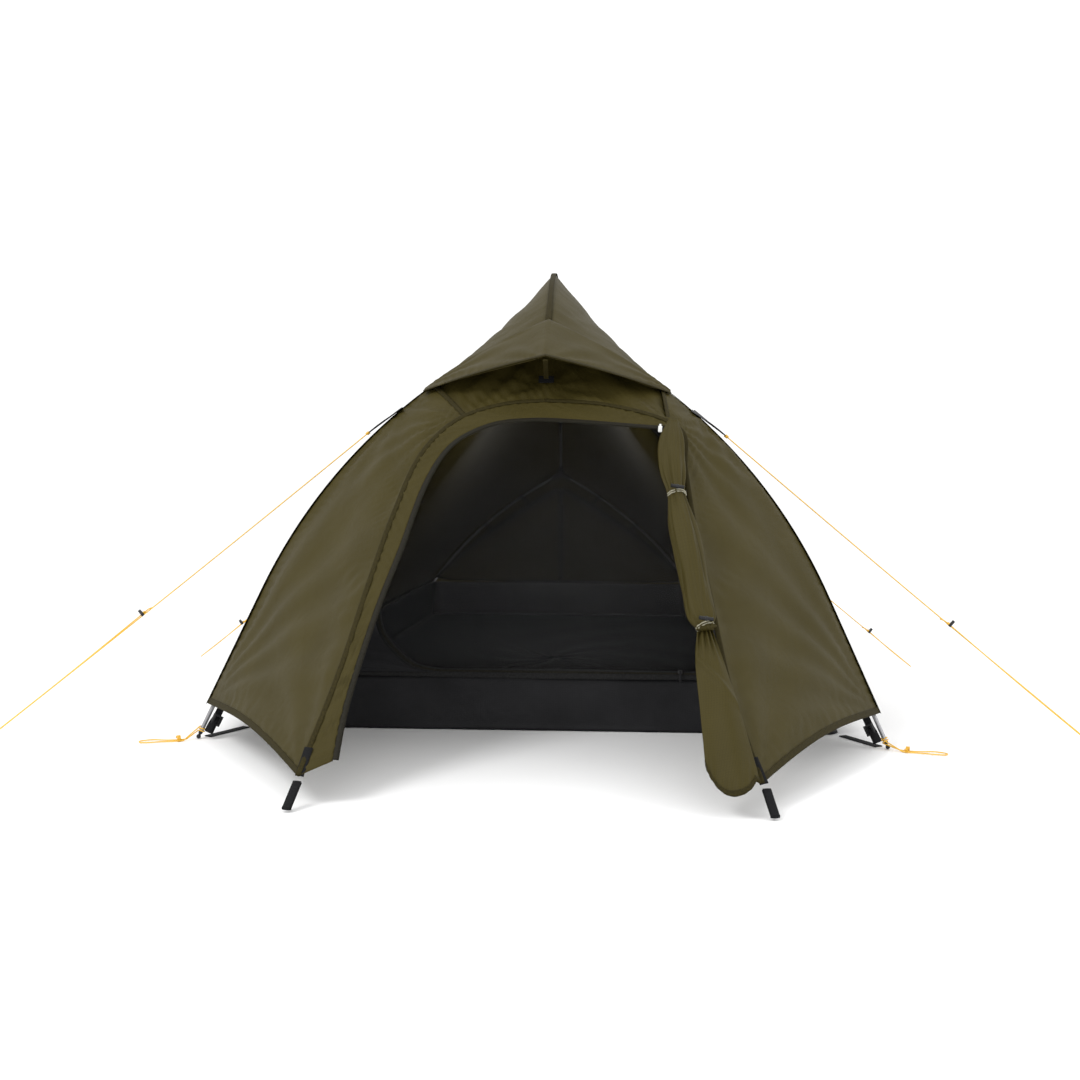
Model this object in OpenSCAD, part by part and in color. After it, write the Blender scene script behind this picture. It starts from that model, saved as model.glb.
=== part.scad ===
// A one-person trekking tent: a hubbed pole frame, an inner tent hung under it and a fly sheet over it.
// The origin is the centre of the footprint on the ground. +Z is up and the door faces -Y.

/* [Frame] */
// Distance between the two front pole feet
front_span = 1410; // [1390:5:1430]
// Length of the front arch from the ground to its hub, measured up its leaning plane
front_rise = 912; // [904:2:920]
// Backward lean of the front arch in degrees
front_lean = 19; // [18.5:0.1:19.5]
// Lean of the straight lower part of a front leg from upright, in degrees
leg_splay = 22; // [21.5:0.1:22.5]
// Downward slope of each front leg where it leaves the hub, in degrees
front_hub_slope = 24; // [23.5:0.1:24.5]
// Distance between the two rear pole feet
rear_span = 1030; // [1010:5:1050]
// Length of the rear arch from the ground to its hub, measured up its leaning plane
rear_rise = 578; // [572:1:584]
// Forward lean of the rear arch in degrees
rear_lean = 31; // [30.5:0.1:31.5]
// Downward slope of each rear leg where it leaves the hub, in degrees
rear_hub_slope = 32; // [31.5:0.1:32.5]
// Distance from the front pole feet back to the rear pole feet
feet_length = 2290; // [2270:5:2310]
// Radius of the arc that the ridge pole is bent to
ridge_radius = 1330; // [1320:5:1350]
// Outside diameter of every pole
pole_d = 8.5; // [8.3:0.1:8.7]

/* [Fly] */
// Height of the lower door corners above the ground
door_corner_z = 50; // [46:1:54]
// Distance from the front pole feet forward to the plane of the door at the ground
vestibule_reach = 580; // [570:5:590]
// Backward run of the door plane for each unit of its height
door_slope = 1.03; // [1.01:0.01:1.05]
// Gap between the fly and the centre line of the poles
fly_gap = 13; // [12:0.5:14]
// Thickness of every cloth panel
cloth = 1.2; // [1:0.1:1.4]

/* [Inner] */
// Half the width of the floor at its front edge
floor_front = 630; // [620:5:640]
// Half the width of the floor at its rear edge
floor_rear = 440; // [430:5:450]
// Height of the waterproof walls around the floor
tub_height = 115; // [110:1:120]
// Gap between the inner tent and the centre line of the poles
inner_gap = 45; // [43:1:50]

/* [Hidden] */
$fn = 32;

pole_r = pole_d / 2;
pole_wall = 0.6;
// The footprint runs from the front peg loops to the rear ones, so the front feet stand this far forward
front_y = -960;
rear_y = front_y + feet_length;
tip_r = 4.6;

// The front leg's centre line, in its leaning plane: a straight lower part, then an arc up to the hub
half_span = front_span / 2;
leg_chord = (90 - leg_splay + front_hub_slope) / 2;
leg_turn = 90 - leg_splay - front_hub_slope;
leg_bend_v = (front_rise - half_span * tan(leg_chord)) / (1 - tan(leg_splay) * tan(leg_chord));
leg_bend_u = half_span - leg_bend_v * tan(leg_splay);
leg_r = norm([leg_bend_u, front_rise - leg_bend_v]) / (2 * sin(leg_turn / 2));
leg_c = [-leg_r * sin(front_hub_slope), front_rise - leg_r * cos(front_hub_slope)];
leg_arc = leg_r * leg_turn * PI / 180;
leg_straight = leg_bend_v / cos(leg_splay);

// The rear leg's centre line, in its leaning plane: one arc
rear_half = rear_span / 2;
rear_chord = atan(rear_rise / rear_half);
rear_turn = 2 * (rear_chord - rear_hub_slope);
rear_r = norm([rear_half, rear_rise]) / (2 * sin(rear_turn / 2));
rear_c = [-rear_r * sin(rear_hub_slope), rear_rise - rear_r * cos(rear_hub_slope)];
rear_arc = rear_r * rear_turn * PI / 180;

// The hubs, and the ridge pole's arc through both, in the plane x = 0 as [y, z]
hub_f = [front_y + front_rise * sin(front_lean), front_rise * cos(front_lean)];
hub_r = [rear_y - rear_rise * sin(rear_lean), rear_rise * cos(rear_lean)];
hub_gap = hub_r - hub_f;
hub_mid = (hub_f + hub_r) / 2;
ridge_c = hub_mid + [hub_gap[1], -hub_gap[0]] / norm(hub_gap)
    * sqrt(ridge_radius * ridge_radius - pow(norm(hub_gap) / 2, 2));
ridge_from = atan2(hub_f[0] - ridge_c[0], hub_f[1] - ridge_c[1]);
ridge_to = atan2(hub_r[0] - ridge_c[0], hub_r[1] - ridge_c[1]);
ridge_len = ridge_radius * (ridge_to - ridge_from) * PI / 180;

hub_boss = 12;
hub_width = 16;
pole_start = 14;

function mix(a, b, s) = a * (1 - s) + b * s;

// A point on a curve through hand-picked points, s from 0 to 1
function spline_at(p, i, s) =
    let (a = p[max(i - 1, 0)], b = p[i], c = p[i + 1], d = p[min(i + 2, len(p) - 1)])
    0.5 * (2 * b + (c - a) * s + (2 * a - 5 * b + 4 * c - d) * s * s
        + (3 * b - a - 3 * c + d) * s * s * s);
function spline(p, s) =
    let (n = len(p) - 1, t = min(max(s, 0), 1) * n, i = min(floor(t), n - 1))
    spline_at(p, i, t - i);

// A front leg's line, d from the hub along the pole and off outside its centre line
function leg_plane(d, off) = d < leg_arc
    ? let (a = front_hub_slope + d / leg_r * 180 / PI) leg_c + (leg_r + off) * [sin(a), cos(a)]
    : [leg_bend_u, leg_bend_v] + (d - leg_arc) * [sin(leg_splay), -cos(leg_splay)]
        + off * [cos(leg_splay), sin(leg_splay)];
function leg_top(off) =
    (asin(leg_r * sin(front_hub_slope) / (leg_r + off)) - front_hub_slope) * leg_r * PI / 180;
function front_leg(side, d, off) = let (p = leg_plane(d, off))
    [side * p[0], front_y + p[1] * sin(front_lean), p[1] * cos(front_lean)];
function rear_plane(d, off) =
    let (a = rear_hub_slope + d / rear_r * 180 / PI) rear_c + (rear_r + off) * [sin(a), cos(a)];
function rear_top(off) =
    (asin(rear_r * sin(rear_hub_slope) / (rear_r + off)) - rear_hub_slope) * rear_r * PI / 180;
function rear_leg(side, d, off) = let (p = rear_plane(d, off))
    [side * p[0], rear_y - p[1] * sin(rear_lean), p[1] * cos(rear_lean)];
function ridge(s, off) = let (a = mix(ridge_from, ridge_to, s), r = ridge_radius + off)
    [0, ridge_c[0] + r * sin(a), ridge_c[1] + r * cos(a)];

// The fly's edges: s runs from the hub, 0, to the hem, 1
rear_stand_off = 18;
front_stand_off = 14;
hem_front = leg_arc + leg_straight - 74;
hem_rear = rear_arc - 72;
function fly_front(side, s) = front_leg(side, mix(leg_top(fly_gap), hem_front, s), fly_gap);
function fly_rear(side, s) =
    rear_leg(side, mix(rear_top(fly_gap), hem_rear, s), fly_gap) + [0, rear_stand_off, 0];
function fly_hem(side, s) =
    mix(fly_front(side, 1), fly_rear(side, 1), s) + [-side * 14, 0, 14] * sin(180 * s);

// The door plane holds the seam around the doorway and the opening itself, as [x, z] outlines
function door_point(p) = [p[0], front_y - vestibule_reach + door_slope * p[1], p[1]];
seam_left = [
    [-395, door_corner_z], [-352, 196], [-316, 363], [-287, 480],
    [-250, 585], [-185, 656], [-95, 690], [0, 700]
];
seam_right = [
    [388, door_corner_z], [346, 180], [318, 340], [297, 460],
    [286, 560], [276, 645], [140, 690], [0, 700]
];
opening_edge = [
    [-339, 72], [-332, 160], [-302, 300], [-270, 410], [-237, 530],
    [-191, 608], [-115, 650], [-30, 662], [60, 660], [165, 653], [265, 646]
];

// A closed sheet of cloth through rows of points
function cross_at(g, i, j) =
    let (r = len(g) - 1, c = len(g[0]) - 1)
    let (n = cross(g[min(i + 1, r)][j] - g[max(i - 1, 0)][j],
        g[i][min(j + 1, c)] - g[i][max(j - 1, 0)]))
    n / max(norm(n), 0.001);
module sheet(g, thick = cloth) {
    r = len(g);
    c = len(g[0]);
    n = r * c;
    over = [for (i = [0:r - 1]) for (j = [0:c - 1]) g[i][j] + cross_at(g, i, j) * thick / 2];
    under = [for (i = [0:r - 1]) for (j = [0:c - 1]) g[i][j] - cross_at(g, i, j) * thick / 2];
    polyhedron(concat(over, under), concat(
        [for (i = [0:r - 2]) for (j = [0:c - 2]) let (a = i * c + j) each [
            [a, a + 1, a + c], [a + 1, a + c + 1, a + c],
            [n + a, n + a + c, n + a + 1], [n + a + 1, n + a + c, n + a + c + 1]]],
        [for (i = [0:r - 2]) let (a = i * c, b = i * c + c - 1) each [
            [a, a + c, n + a], [a + c, n + a + c, n + a],
            [b, n + b, b + c], [b + c, n + b, n + b + c]]],
        [for (j = [0:c - 2]) let (a = j, b = (r - 1) * c + j) each [
            [a, n + a, a + 1], [a + 1, n + a, n + a + 1],
            [b, b + 1, n + b], [b + 1, n + b + 1, n + b]]]));
}

// A tube swept along points, with flat ends
function tangent(p, i) =
    let (d = p[min(i + 1, len(p) - 1)] - p[max(i - 1, 0)]) d / norm(d);
function ring(p, i, rx, ry, up) =
    let (t = tangent(p, i), a = cross(t, up) / norm(cross(t, up)), b = cross(a, t))
    [for (k = [0:7]) p[i] + a * rx * cos(45 * k) + b * ry * sin(45 * k)];
module tube(p, rx, ry, up = [0, 0.1, 1]) {
    n = len(p);
    polyhedron(
        [for (i = [0:n - 1]) each ring(p, i, is_list(rx) ? rx[i] : rx, is_list(ry) ? ry[i] : ry, up)],
        concat(
            [for (i = [0:n - 2]) for (k = [0:7]) let (a = i * 8 + k, b = i * 8 + (k + 1) % 8) each [
                [a, b, a + 8], [b, b + 8, a + 8]]],
            [[for (k = [0:7]) 7 - k], [for (k = [0:7]) (n - 1) * 8 + k]]));
}

// Frames for the three planes that the poles are bent in, and for a line from one point to another
module in_front_plane() {
    translate([0, front_y, 0]) rotate([90 - front_lean, 0, 0]) children();
}
module in_rear_plane() {
    translate([0, rear_y, 0]) rotate([90 + rear_lean, 0, 0]) children();
}
module in_ridge_plane() {
    rotate([90, 0, 90]) children();
}
module along(from, to) {
    d = to - from;
    translate(from)
        rotate([0, -atan2(d[2], norm([d[0], d[1]])), atan2(d[1], d[0])])
            children();
}
// An arc of round tube, from and to in degrees off the plane's upright
module arc_tube(centre, radius, from, to, outer, inner) {
    translate(centre)
        rotate([0, 0, 90 - to])
            rotate_extrude(angle = to - from, $fn = 120)
                translate([radius, 0])
                    difference() {
                        circle(outer, $fn = 24);
                        circle(inner, $fn = 24);
                    }
}
module leg_tube(d0, d1, outer, inner) {
    arc_tube(leg_c, leg_r, front_hub_slope + d0 / leg_r * 180 / PI,
        front_hub_slope + d1 / leg_r * 180 / PI, outer, inner);
}
module leg_rod(d0, d1, outer, inner) {
    translate([leg_bend_u, leg_bend_v])
        rotate([0, 0, leg_splay])
            rotate([90, 0, 0])
                translate([0, 0, d0 - leg_arc])
                    difference() {
                        cylinder(d1 - d0, outer, outer, $fn = 24);
                        translate([0, 0, -1]) cylinder(d1 - d0 + 2, inner, inner, $fn = 24);
                    }
}
module rear_tube(d0, d1, outer, inner) {
    arc_tube(rear_c, rear_r, rear_hub_slope + d0 / rear_r * 180 / PI,
        rear_hub_slope + d1 / rear_r * 180 / PI, outer, inner);
}
module ridge_tube(d0, d1, outer, inner) {
    arc_tube(ridge_c, ridge_radius, ridge_from + d0 / ridge_radius * 180 / PI,
        ridge_from + d1 / ridge_radius * 180 / PI, outer, inner);
}

// Poles, each in sections that meet over a ferrule
bore_r = pole_r - pole_wall;
joint_gap = 0.3;
leg_joints = [pole_start, leg_arc / 2, leg_arc];
ridge_sections = 5;
ridge_piece = (ridge_len - 2 * pole_start) / ridge_sections;
rear_joint = 400;
tip_reach = 11;
leg_end = leg_arc + leg_straight - tip_reach - tip_r / cos(leg_splay) / cos(front_lean);
rear_end = rear_arc - tip_reach - tip_r / sin(rear_hub_slope + rear_turn) / cos(rear_lean);

module front_pole() {
    in_front_plane() {
        leg_tube(leg_joints[0], leg_joints[1] - joint_gap, pole_r, bore_r);
        leg_tube(leg_joints[1], leg_joints[2] - joint_gap, pole_r, bore_r);
        leg_rod(leg_joints[2], leg_end, pole_r, bore_r);
    }
}
module front_right_pole() {
    color("silver") front_pole();
}
module front_left_pole() {
    color("silver") mirror([1, 0, 0]) front_pole();
}
module ridge_pole() {
    color("silver")
        in_ridge_plane()
            for (i = [0:ridge_sections - 1])
                ridge_tube(pole_start + i * ridge_piece,
                    pole_start + (i + 1) * ridge_piece - joint_gap, pole_r, bore_r);
}
module rear_pole() {
    in_rear_plane() {
        rear_tube(pole_start, rear_joint - joint_gap, pole_r, bore_r);
        rear_tube(rear_joint, rear_end, pole_r, bore_r);
    }
}
module rear_right_pole() {
    color("silver") rear_pole();
}
module rear_left_pole() {
    color("silver") mirror([1, 0, 0]) rear_pole();
}

// A ferrule is a short inner tube halfway into each of two sections
ferrule_r = bore_r - 0.15;
ferrule_half = 35;
// The ferrule where the leg's arc turns straight is short, so that it fits both
straight_half = 12;
module pole_ferrules() {
    color("gray") {
        for (side = [0, 1])
            mirror([side, 0, 0]) {
                in_front_plane() {
                    leg_tube(leg_joints[1] - ferrule_half, leg_joints[1] + ferrule_half,
                        ferrule_r, ferrule_r - 0.8);
                    leg_rod(leg_joints[2] - straight_half, leg_joints[2] + straight_half,
                        ferrule_r, ferrule_r - 0.8);
                }
                in_rear_plane()
                    rear_tube(rear_joint - ferrule_half, rear_joint + ferrule_half,
                        ferrule_r, ferrule_r - 0.8);
            }
        in_ridge_plane()
            for (i = [1:ridge_sections - 1])
                ridge_tube(pole_start + i * ridge_piece - ferrule_half,
                    pole_start + i * ridge_piece + ferrule_half, ferrule_r, ferrule_r - 0.8);
    }
}

// Elastic shock cord down the middle of every pole
shock_r = 1.2;
module shock_cords() {
    color("black") {
        for (side = [0, 1])
            mirror([side, 0, 0]) {
                in_front_plane() {
                    leg_tube(pole_start, leg_arc - joint_gap, shock_r, 0);
                    leg_rod(leg_arc, leg_end - 24, shock_r, 0);
                }
                in_rear_plane() rear_tube(pole_start, rear_end - 24, shock_r, 0);
            }
        in_ridge_plane() ridge_tube(pole_start, ridge_len - pole_start, shock_r, 0);
    }
}

// Each foot ends in a plug with a round tip
tip_plug = 10;
tip_gap = 0.1;
module tip() {
    rotate([0, 180, 0]) {
        translate([0, 0, -tip_plug]) cylinder(tip_plug, bore_r - 0.15, bore_r - 0.15, $fn = 24);
        translate([0, 0, tip_gap]) cylinder(5, pole_r + 0.6, pole_r - 0.6, $fn = 24);
        cylinder(tip_reach, 2.6, 2.6, $fn = 24);
        translate([0, 0, tip_reach]) sphere(tip_r, $fn = 32);
    }
}
module pole_tips() {
    color("gray")
        for (side = [0, 1])
            mirror([side, 0, 0]) {
                in_front_plane()
                    translate([leg_bend_u, leg_bend_v])
                        rotate([0, 0, leg_splay])
                            translate([0, leg_arc - leg_end, 0]) rotate([-90, 0, 0]) tip();
                in_rear_plane()
                    translate(rear_plane(rear_end, 0))
                        rotate([0, 0, 90 - rear_hub_slope - rear_end / rear_r * 180 / PI])
                            rotate([-90, 0, 0]) tip();
            }
}

// Each hub is a round boss with three short straight sockets that the pole ends sit in
socket_r = pole_r + 2.2;
socket_bore = pole_r + 0.25;
socket_mid = 24;
socket_half = 13;
module boss(at) {
    translate([0, at[0], at[1]])
        rotate([0, 90, 0]) cylinder(hub_width, hub_boss, hub_boss, center = true, $fn = 48);
}
module at_socket(centre, radius, angle) {
    translate(centre) rotate([0, 0, -angle]) translate([0, radius]) rotate([0, 90, 0]) children();
}
module socket_body(out) {
    translate([0, 0, out > 0 ? -socket_half - 4 : -socket_half])
        cylinder(2 * socket_half + 4, socket_r, socket_r, $fn = 32);
}
module socket_hole(out) {
    translate([0, 0, out > 0 ? -socket_half + 2 : -socket_half - 10])
        cylinder(2 * socket_half + 8, socket_bore, socket_bore, $fn = 32);
}
module at_front_sockets() {
    for (side = [0, 1])
        mirror([side, 0, 0])
            in_front_plane()
                at_socket(leg_c, leg_r, front_hub_slope + socket_mid / leg_r * 180 / PI) children();
    in_ridge_plane()
        at_socket(ridge_c, ridge_radius, ridge_from + socket_mid / ridge_radius * 180 / PI)
            children();
}
module front_hub() {
    color("dimgray")
        difference() {
            union() {
                boss(hub_f);
                at_front_sockets() socket_body(1);
            }
            at_front_sockets() socket_hole(1);
        }
}
module at_rear_legs() {
    for (side = [0, 1])
        mirror([side, 0, 0])
            in_rear_plane()
                at_socket(rear_c, rear_r, rear_hub_slope + socket_mid / rear_r * 180 / PI)
                    children();
}
module at_ridge_end() {
    in_ridge_plane()
        at_socket(ridge_c, ridge_radius, ridge_to - socket_mid / ridge_radius * 180 / PI)
            children();
}
module rear_hub() {
    color("dimgray")
        difference() {
            union() {
                boss(hub_r);
                at_rear_legs() socket_body(1);
                at_ridge_end() socket_body(-1);
            }
            at_rear_legs() socket_hole(1);
            at_ridge_end() socket_hole(-1);
        }
}

// The inner tent: a tray floor with upright waterproof walls
tub_front_y = front_y + 135;
tub_rear_y = front_y + 2160;
tub_plan = [
    [-floor_front, tub_front_y], [floor_front, tub_front_y],
    [floor_rear, tub_rear_y], [-floor_rear, tub_rear_y]
];
module inner_floor() {
    color([0.15, 0.15, 0.16])
        difference() {
            linear_extrude(tub_height) polygon(tub_plan);
            translate([0, 0, cloth + 0.3])
                linear_extrude(tub_height) offset(delta = -cloth) polygon(tub_plan);
        }
}

// The inner's front and rear walls lie in planes from the top of the tray to just under each hub
wall_z = tub_height + 3;
inner_front_top = [hub_f[0] + 22, hub_f[1] - inner_gap];
inner_rear_top = [hub_r[0] - 8, hub_r[1] - inner_gap];
front_run = (inner_front_top[0] - tub_front_y) / (inner_front_top[1] - wall_z);
rear_run = (inner_rear_top[0] - tub_rear_y) / (inner_rear_top[1] - wall_z);
function inner_front_y(z) = tub_front_y + (z - wall_z) * front_run;
function inner_rear_y(z) = tub_rear_y + (z - wall_z) * rear_run;
inner_d_front = leg_arc + leg_straight - 100;
inner_d_rear = rear_arc - 105;
function line_to(p, end, corner, s) = [
    p[0] + (corner[0] - end[0]) * s * s, 0, p[2] + (corner[1] - end[2]) * s * s];
function inner_front(side, s) =
    let (end = front_leg(side, inner_d_front, -inner_gap),
        p = line_to(front_leg(side, mix(leg_top(-inner_gap), inner_d_front, s), -inner_gap),
            end, [side * floor_front, wall_z], s))
    [p[0], inner_front_y(p[2]), p[2]];
function inner_rear(side, s) =
    let (end = rear_leg(side, inner_d_rear, -inner_gap),
        p = line_to(rear_leg(side, mix(rear_top(-inner_gap), inner_d_rear, s), -inner_gap),
            end, [side * floor_rear, wall_z], s))
    [p[0], inner_rear_y(p[2]), p[2]];

// How fast the lift of the ridge dies away down the sides
lift_power = 2.8;
// A side panel between two legs, the ridge above and a hem below, drawn in by slack under the ridge
function side_point(front, rear, top, hem, s, t) =
    mix(front, rear, t) + pow(1 - s, lift_power) * top + s * s * hem;
function fly_side(side, s, t) =
    let (r = ridge(t, fly_gap) - mix(ridge(0, fly_gap), ridge(1, fly_gap), t),
        h = fly_hem(side, t) - mix(fly_hem(side, 0), fly_hem(side, 1), t))
    side_point(fly_front(side, s), fly_rear(side, s), r, h, s, t);
function inner_side(side, s, t) =
    let (r = ridge(t, -inner_gap) - mix(ridge(0, -inner_gap), ridge(1, -inner_gap), t))
    side_point(inner_front(side, s), inner_rear(side, s), r, [0, 0, 0], s, t);

side_rows = 12;
side_cols = 16;
seam_share = 0.004;
module side_wall(side, inner) {
    sheet([for (i = [0:side_rows]) let (s = mix(seam_share, 1, i / side_rows))
        [for (j = [0:side_cols]) let (t = mix(seam_share, 1 - seam_share, j / side_cols))
            inner ? inner_side(side, s, t) : fly_side(side, s, t)]]);
}
module inner_left_wall() {
    color([0.2, 0.2, 0.2]) side_wall(-1, true);
}
module inner_right_wall() {
    color([0.2, 0.2, 0.2]) side_wall(1, true);
}
module fly_left_panel() {
    color([0.29, 0.27, 0.15]) side_wall(-1, false);
}
module fly_right_panel() {
    color([0.29, 0.27, 0.15]) side_wall(1, false);
}
// The end walls are flat, so they are outlines in their own planes, given as [x, z]
wall_inset = 3;
module in_inner_front() {
    translate([0, tub_front_y, wall_z]) rotate([90 - atan(front_run), 0, 0]) children();
}
module in_inner_rear() {
    translate([0, tub_rear_y, wall_z]) rotate([90 - atan(rear_run), 0, 0]) children();
}
function up_plane(p, run) = [p[0], (p[1] - wall_z) / cos(atan(run))];
wall_steps = 14;
module end_outline(run, rear) {
    half = [for (i = [0:wall_steps])
        let (s = mix(1, 0.06, i / wall_steps), p = rear ? inner_rear(1, s) : inner_front(1, s))
        up_plane([p[0] - wall_inset, p[2]], run)];
    polygon(concat(half, [for (i = [wall_steps:-1:0]) [-half[i][0], half[i][1]]]));
}
door_outline = [
    [-300, 152], [-346, 205], [-358, 280], [-350, 410], [-300, 560], [-190, 680], [0, 735],
    [190, 680], [300, 560], [350, 410], [358, 280], [350, 200]
];
zip_line_z = 126;
module inner_door_shape() {
    polygon([for (p = concat([for (i = [0:33]) spline(door_outline, i / 33)],
        [[345, zip_line_z], [-225, zip_line_z], [-270, 134]])) up_plane(p, front_run)]);
}
hinge_x = 325;
door_zip_w = 7;
module hinge_side() {
    translate([hinge_x, 20]) square([100, 560]);
}
module inner_front_wall() {
    color([0.13, 0.13, 0.13])
        in_inner_front()
            linear_extrude(cloth)
                difference() {
                    end_outline(front_run, false);
                    inner_door_shape();
                }
}
module inner_door() {
    color([0.1, 0.1, 0.1])
        in_inner_front()
            linear_extrude(cloth) {
                offset(delta = -door_zip_w) inner_door_shape();
                intersection() {
                    offset(delta = -1) inner_door_shape();
                    hinge_side();
                }
            }
}
module inner_door_zip() {
    color([0.05, 0.05, 0.05])
        in_inner_front()
            linear_extrude(cloth + 0.6)
                difference() {
                    offset(delta = -1) inner_door_shape();
                    offset(delta = 1 - door_zip_w) inner_door_shape();
                    translate([-1, 0]) hinge_side();
                }
}
inner_slider_x = 290;
module on_inner_zip() {
    in_inner_front()
        translate([inner_slider_x, up_plane([0, zip_line_z + 4], front_run)[1], cloth + 1])
            children();
}
module inner_zip_slider() {
    color("black")
        on_inner_zip() {
            translate([-5, -4, 0]) cube([10, 8, 2.4]);
            translate([-4, -1.5, 2.4]) cube([1.6, 3, 2.4]);
            translate([2.4, -1.5, 2.4]) cube([1.6, 3, 2.4]);
            translate([-4, 0, 4.8]) rotate([0, 90, 0]) cylinder(8, 0.7, 0.7, $fn = 24);
        }
}
module inner_zip_pull() {
    color("black")
        on_inner_zip()
            translate([0, 0, 4.8])
                difference() {
                    union() {
                        rotate([0, 90, 0]) translate([0, 0, -2]) cylinder(4, 1.7, 1.7, $fn = 24);
                        translate([-2, -22, -0.8]) cube([4, 21, 1.6]);
                    }
                    rotate([0, 90, 0]) translate([0, 0, -3]) cylinder(6, 0.95, 0.95, $fn = 24);
                }
}
module inner_rear_wall() {
    color([0.13, 0.13, 0.13])
        in_inner_rear() linear_extrude(cloth) end_outline(rear_run, true);
}

// Clips hook the inner tent to the poles: a ring on the pole and a tab down to the cloth
clip_len = 10;
clip_r = pole_r + 2;
clip_drop = inner_gap - 6;
module clip() {
    difference() {
        union() {
            cylinder(clip_len, clip_r, clip_r, center = true, $fn = 24);
            translate([-2, -clip_drop, -4]) cube([4, clip_drop, 8]);
        }
        cylinder(clip_len + 2, pole_r + 0.2, pole_r + 0.2, center = true, $fn = 24);
    }
}
module clip_on(centre, radius, angle) {
    translate(centre) rotate([0, 0, -angle]) translate([0, radius]) rotate([0, 90, 0]) clip();
}
module inner_clips() {
    color("black") {
        for (side = [0, 1])
            mirror([side, 0, 0]) {
                in_front_plane()
                    for (d = [160, 330, 500])
                        clip_on(leg_c, leg_r, front_hub_slope + d / leg_r * 180 / PI);
                in_rear_plane()
                    for (d = [160, 330])
                        clip_on(rear_c, rear_r, rear_hub_slope + d / rear_r * 180 / PI);
            }
        in_ridge_plane()
            for (s = [0.14, 0.3, 0.5, 0.7, 0.88])
                clip_on(ridge_c, ridge_radius, mix(ridge_from, ridge_to, s));
    }
}

// Webbing from each corner of the tray out to the pole foot, lying on the ground
tab_w = 18;
tab_t = 1.6;
corner_outs = [
    [[floor_front - 8, tub_front_y + 10], [half_span - 16, front_y + 22]],
    [[floor_rear - 8, tub_rear_y - 8], [rear_half - 14, rear_y - 22]]
];
module inner_corner_tabs() {
    color([0.05, 0.05, 0.05])
        for (side = [0, 1])
            mirror([side, 0, 0])
                for (c = corner_outs) {
                    run = c[1] - c[0];
                    translate([c[0][0], c[0][1], 0.2])
                        rotate([0, 0, atan2(run[1], run[0])])
                            translate([22, -tab_w / 2, 0])
                                cube([norm(run) - 22, tab_w, tab_t]);
                }
}

// Rear fly panel, bowed back between the rear legs
rear_bulge = 110;
function rear_point(s, t) =
    mix(fly_rear(1, s), fly_rear(-1, s), t) + [0, s * rear_bulge, -s * 8] * sin(180 * t);
module fly_rear_panel() {
    color([0.29, 0.27, 0.15])
        sheet([for (i = [0:side_rows])
            [for (j = [0:12]) rear_point(mix(0.03, 1, i / side_rows), mix(0.004, 0.996, j / 12))]]);
}

// Front panels run from a front leg down to the seam around the doorway
brow_share = 0.745;
front_rows = 16;
function seam_at(side, s) = door_point(spline(side < 0 ? seam_left : seam_right, s));
function front_point(side, s, t) =
    let (leg = fly_front(side, 1 - s) - [0, front_stand_off, 0])
    mix(leg, seam_at(side, s), t) + [0, 0, 22] * sin(180 * t) * pow(1 - s, 2);
module front_panel(side, from, to, rows) {
    sheet([for (i = [0:rows]) let (s = mix(from, to, i / rows))
        [for (j = [0:7]) let (t = mix(0.012, 0.992, j / 7)) front_point(side, s, t)]]);
}
module vestibule_left_panel() {
    color([0.29, 0.27, 0.15]) front_panel(-1, 0, brow_share - 0.002, front_rows);
}
module vestibule_right_panel() {
    color([0.29, 0.27, 0.15]) front_panel(1, 0, brow_share - 0.002, front_rows);
}
module fly_brow_panel() {
    color([0.24, 0.22, 0.12])
        sheet(concat(
            [for (i = [0:8]) let (s = mix(brow_share, 1, i / 8))
                [for (j = [0:7]) let (t = mix(0.03, 0.985, j / 7)) front_point(-1, s, t)]],
            [for (i = [7:-1:0]) let (s = mix(brow_share, 1, i / 8))
                [for (j = [0:7]) let (t = mix(0.03, 0.985, j / 7)) front_point(1, s, t)]]));
}

// The band between the seam and the doorway's zipped edge is flat, in the door plane
door_lean = atan(door_slope);
module in_door_plane() {
    translate([0, front_y - vestibule_reach, 0]) rotate([90 - door_lean, 0, 0]) children();
}
function in_plane(p) = [p[0], p[1] / cos(door_lean)];
function sampled(p, n) = [for (i = [0:n]) in_plane(spline(p, i / n))];
function normal_at(p, i) =
    let (d = p[min(i + 1, len(p) - 1)] - p[max(i - 1, 0)]) [d[1], -d[0]] / norm(d);
function shifted(p, by) = [for (i = [0:len(p) - 1]) p[i] + normal_at(p, i) * by];
function reversed(p) = [for (i = [len(p) - 1:-1:0]) p[i]];
edge_steps = 40;
module strip(p, from, to) {
    polygon(concat(shifted(p, from), reversed(shifted(p, to))));
}
module door_band() {
    color([0.29, 0.27, 0.15])
        in_door_plane()
            linear_extrude(cloth)
                difference() {
                    polygon(concat(
                        shifted(sampled(seam_left, 30), 4),
                        [for (p = [[60, 692], [140, 684], [230, 668], [262, 652]]) in_plane(p)],
                        reversed(sampled(opening_edge, edge_steps))));
                }
}
zip_w = 6;
zip_t = 1.6;
module fly_zip() {
    color([0.12, 0.11, 0.08])
        in_door_plane()
            linear_extrude(zip_t) strip(sampled(opening_edge, edge_steps), 1, 1 + zip_w);
}

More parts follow.
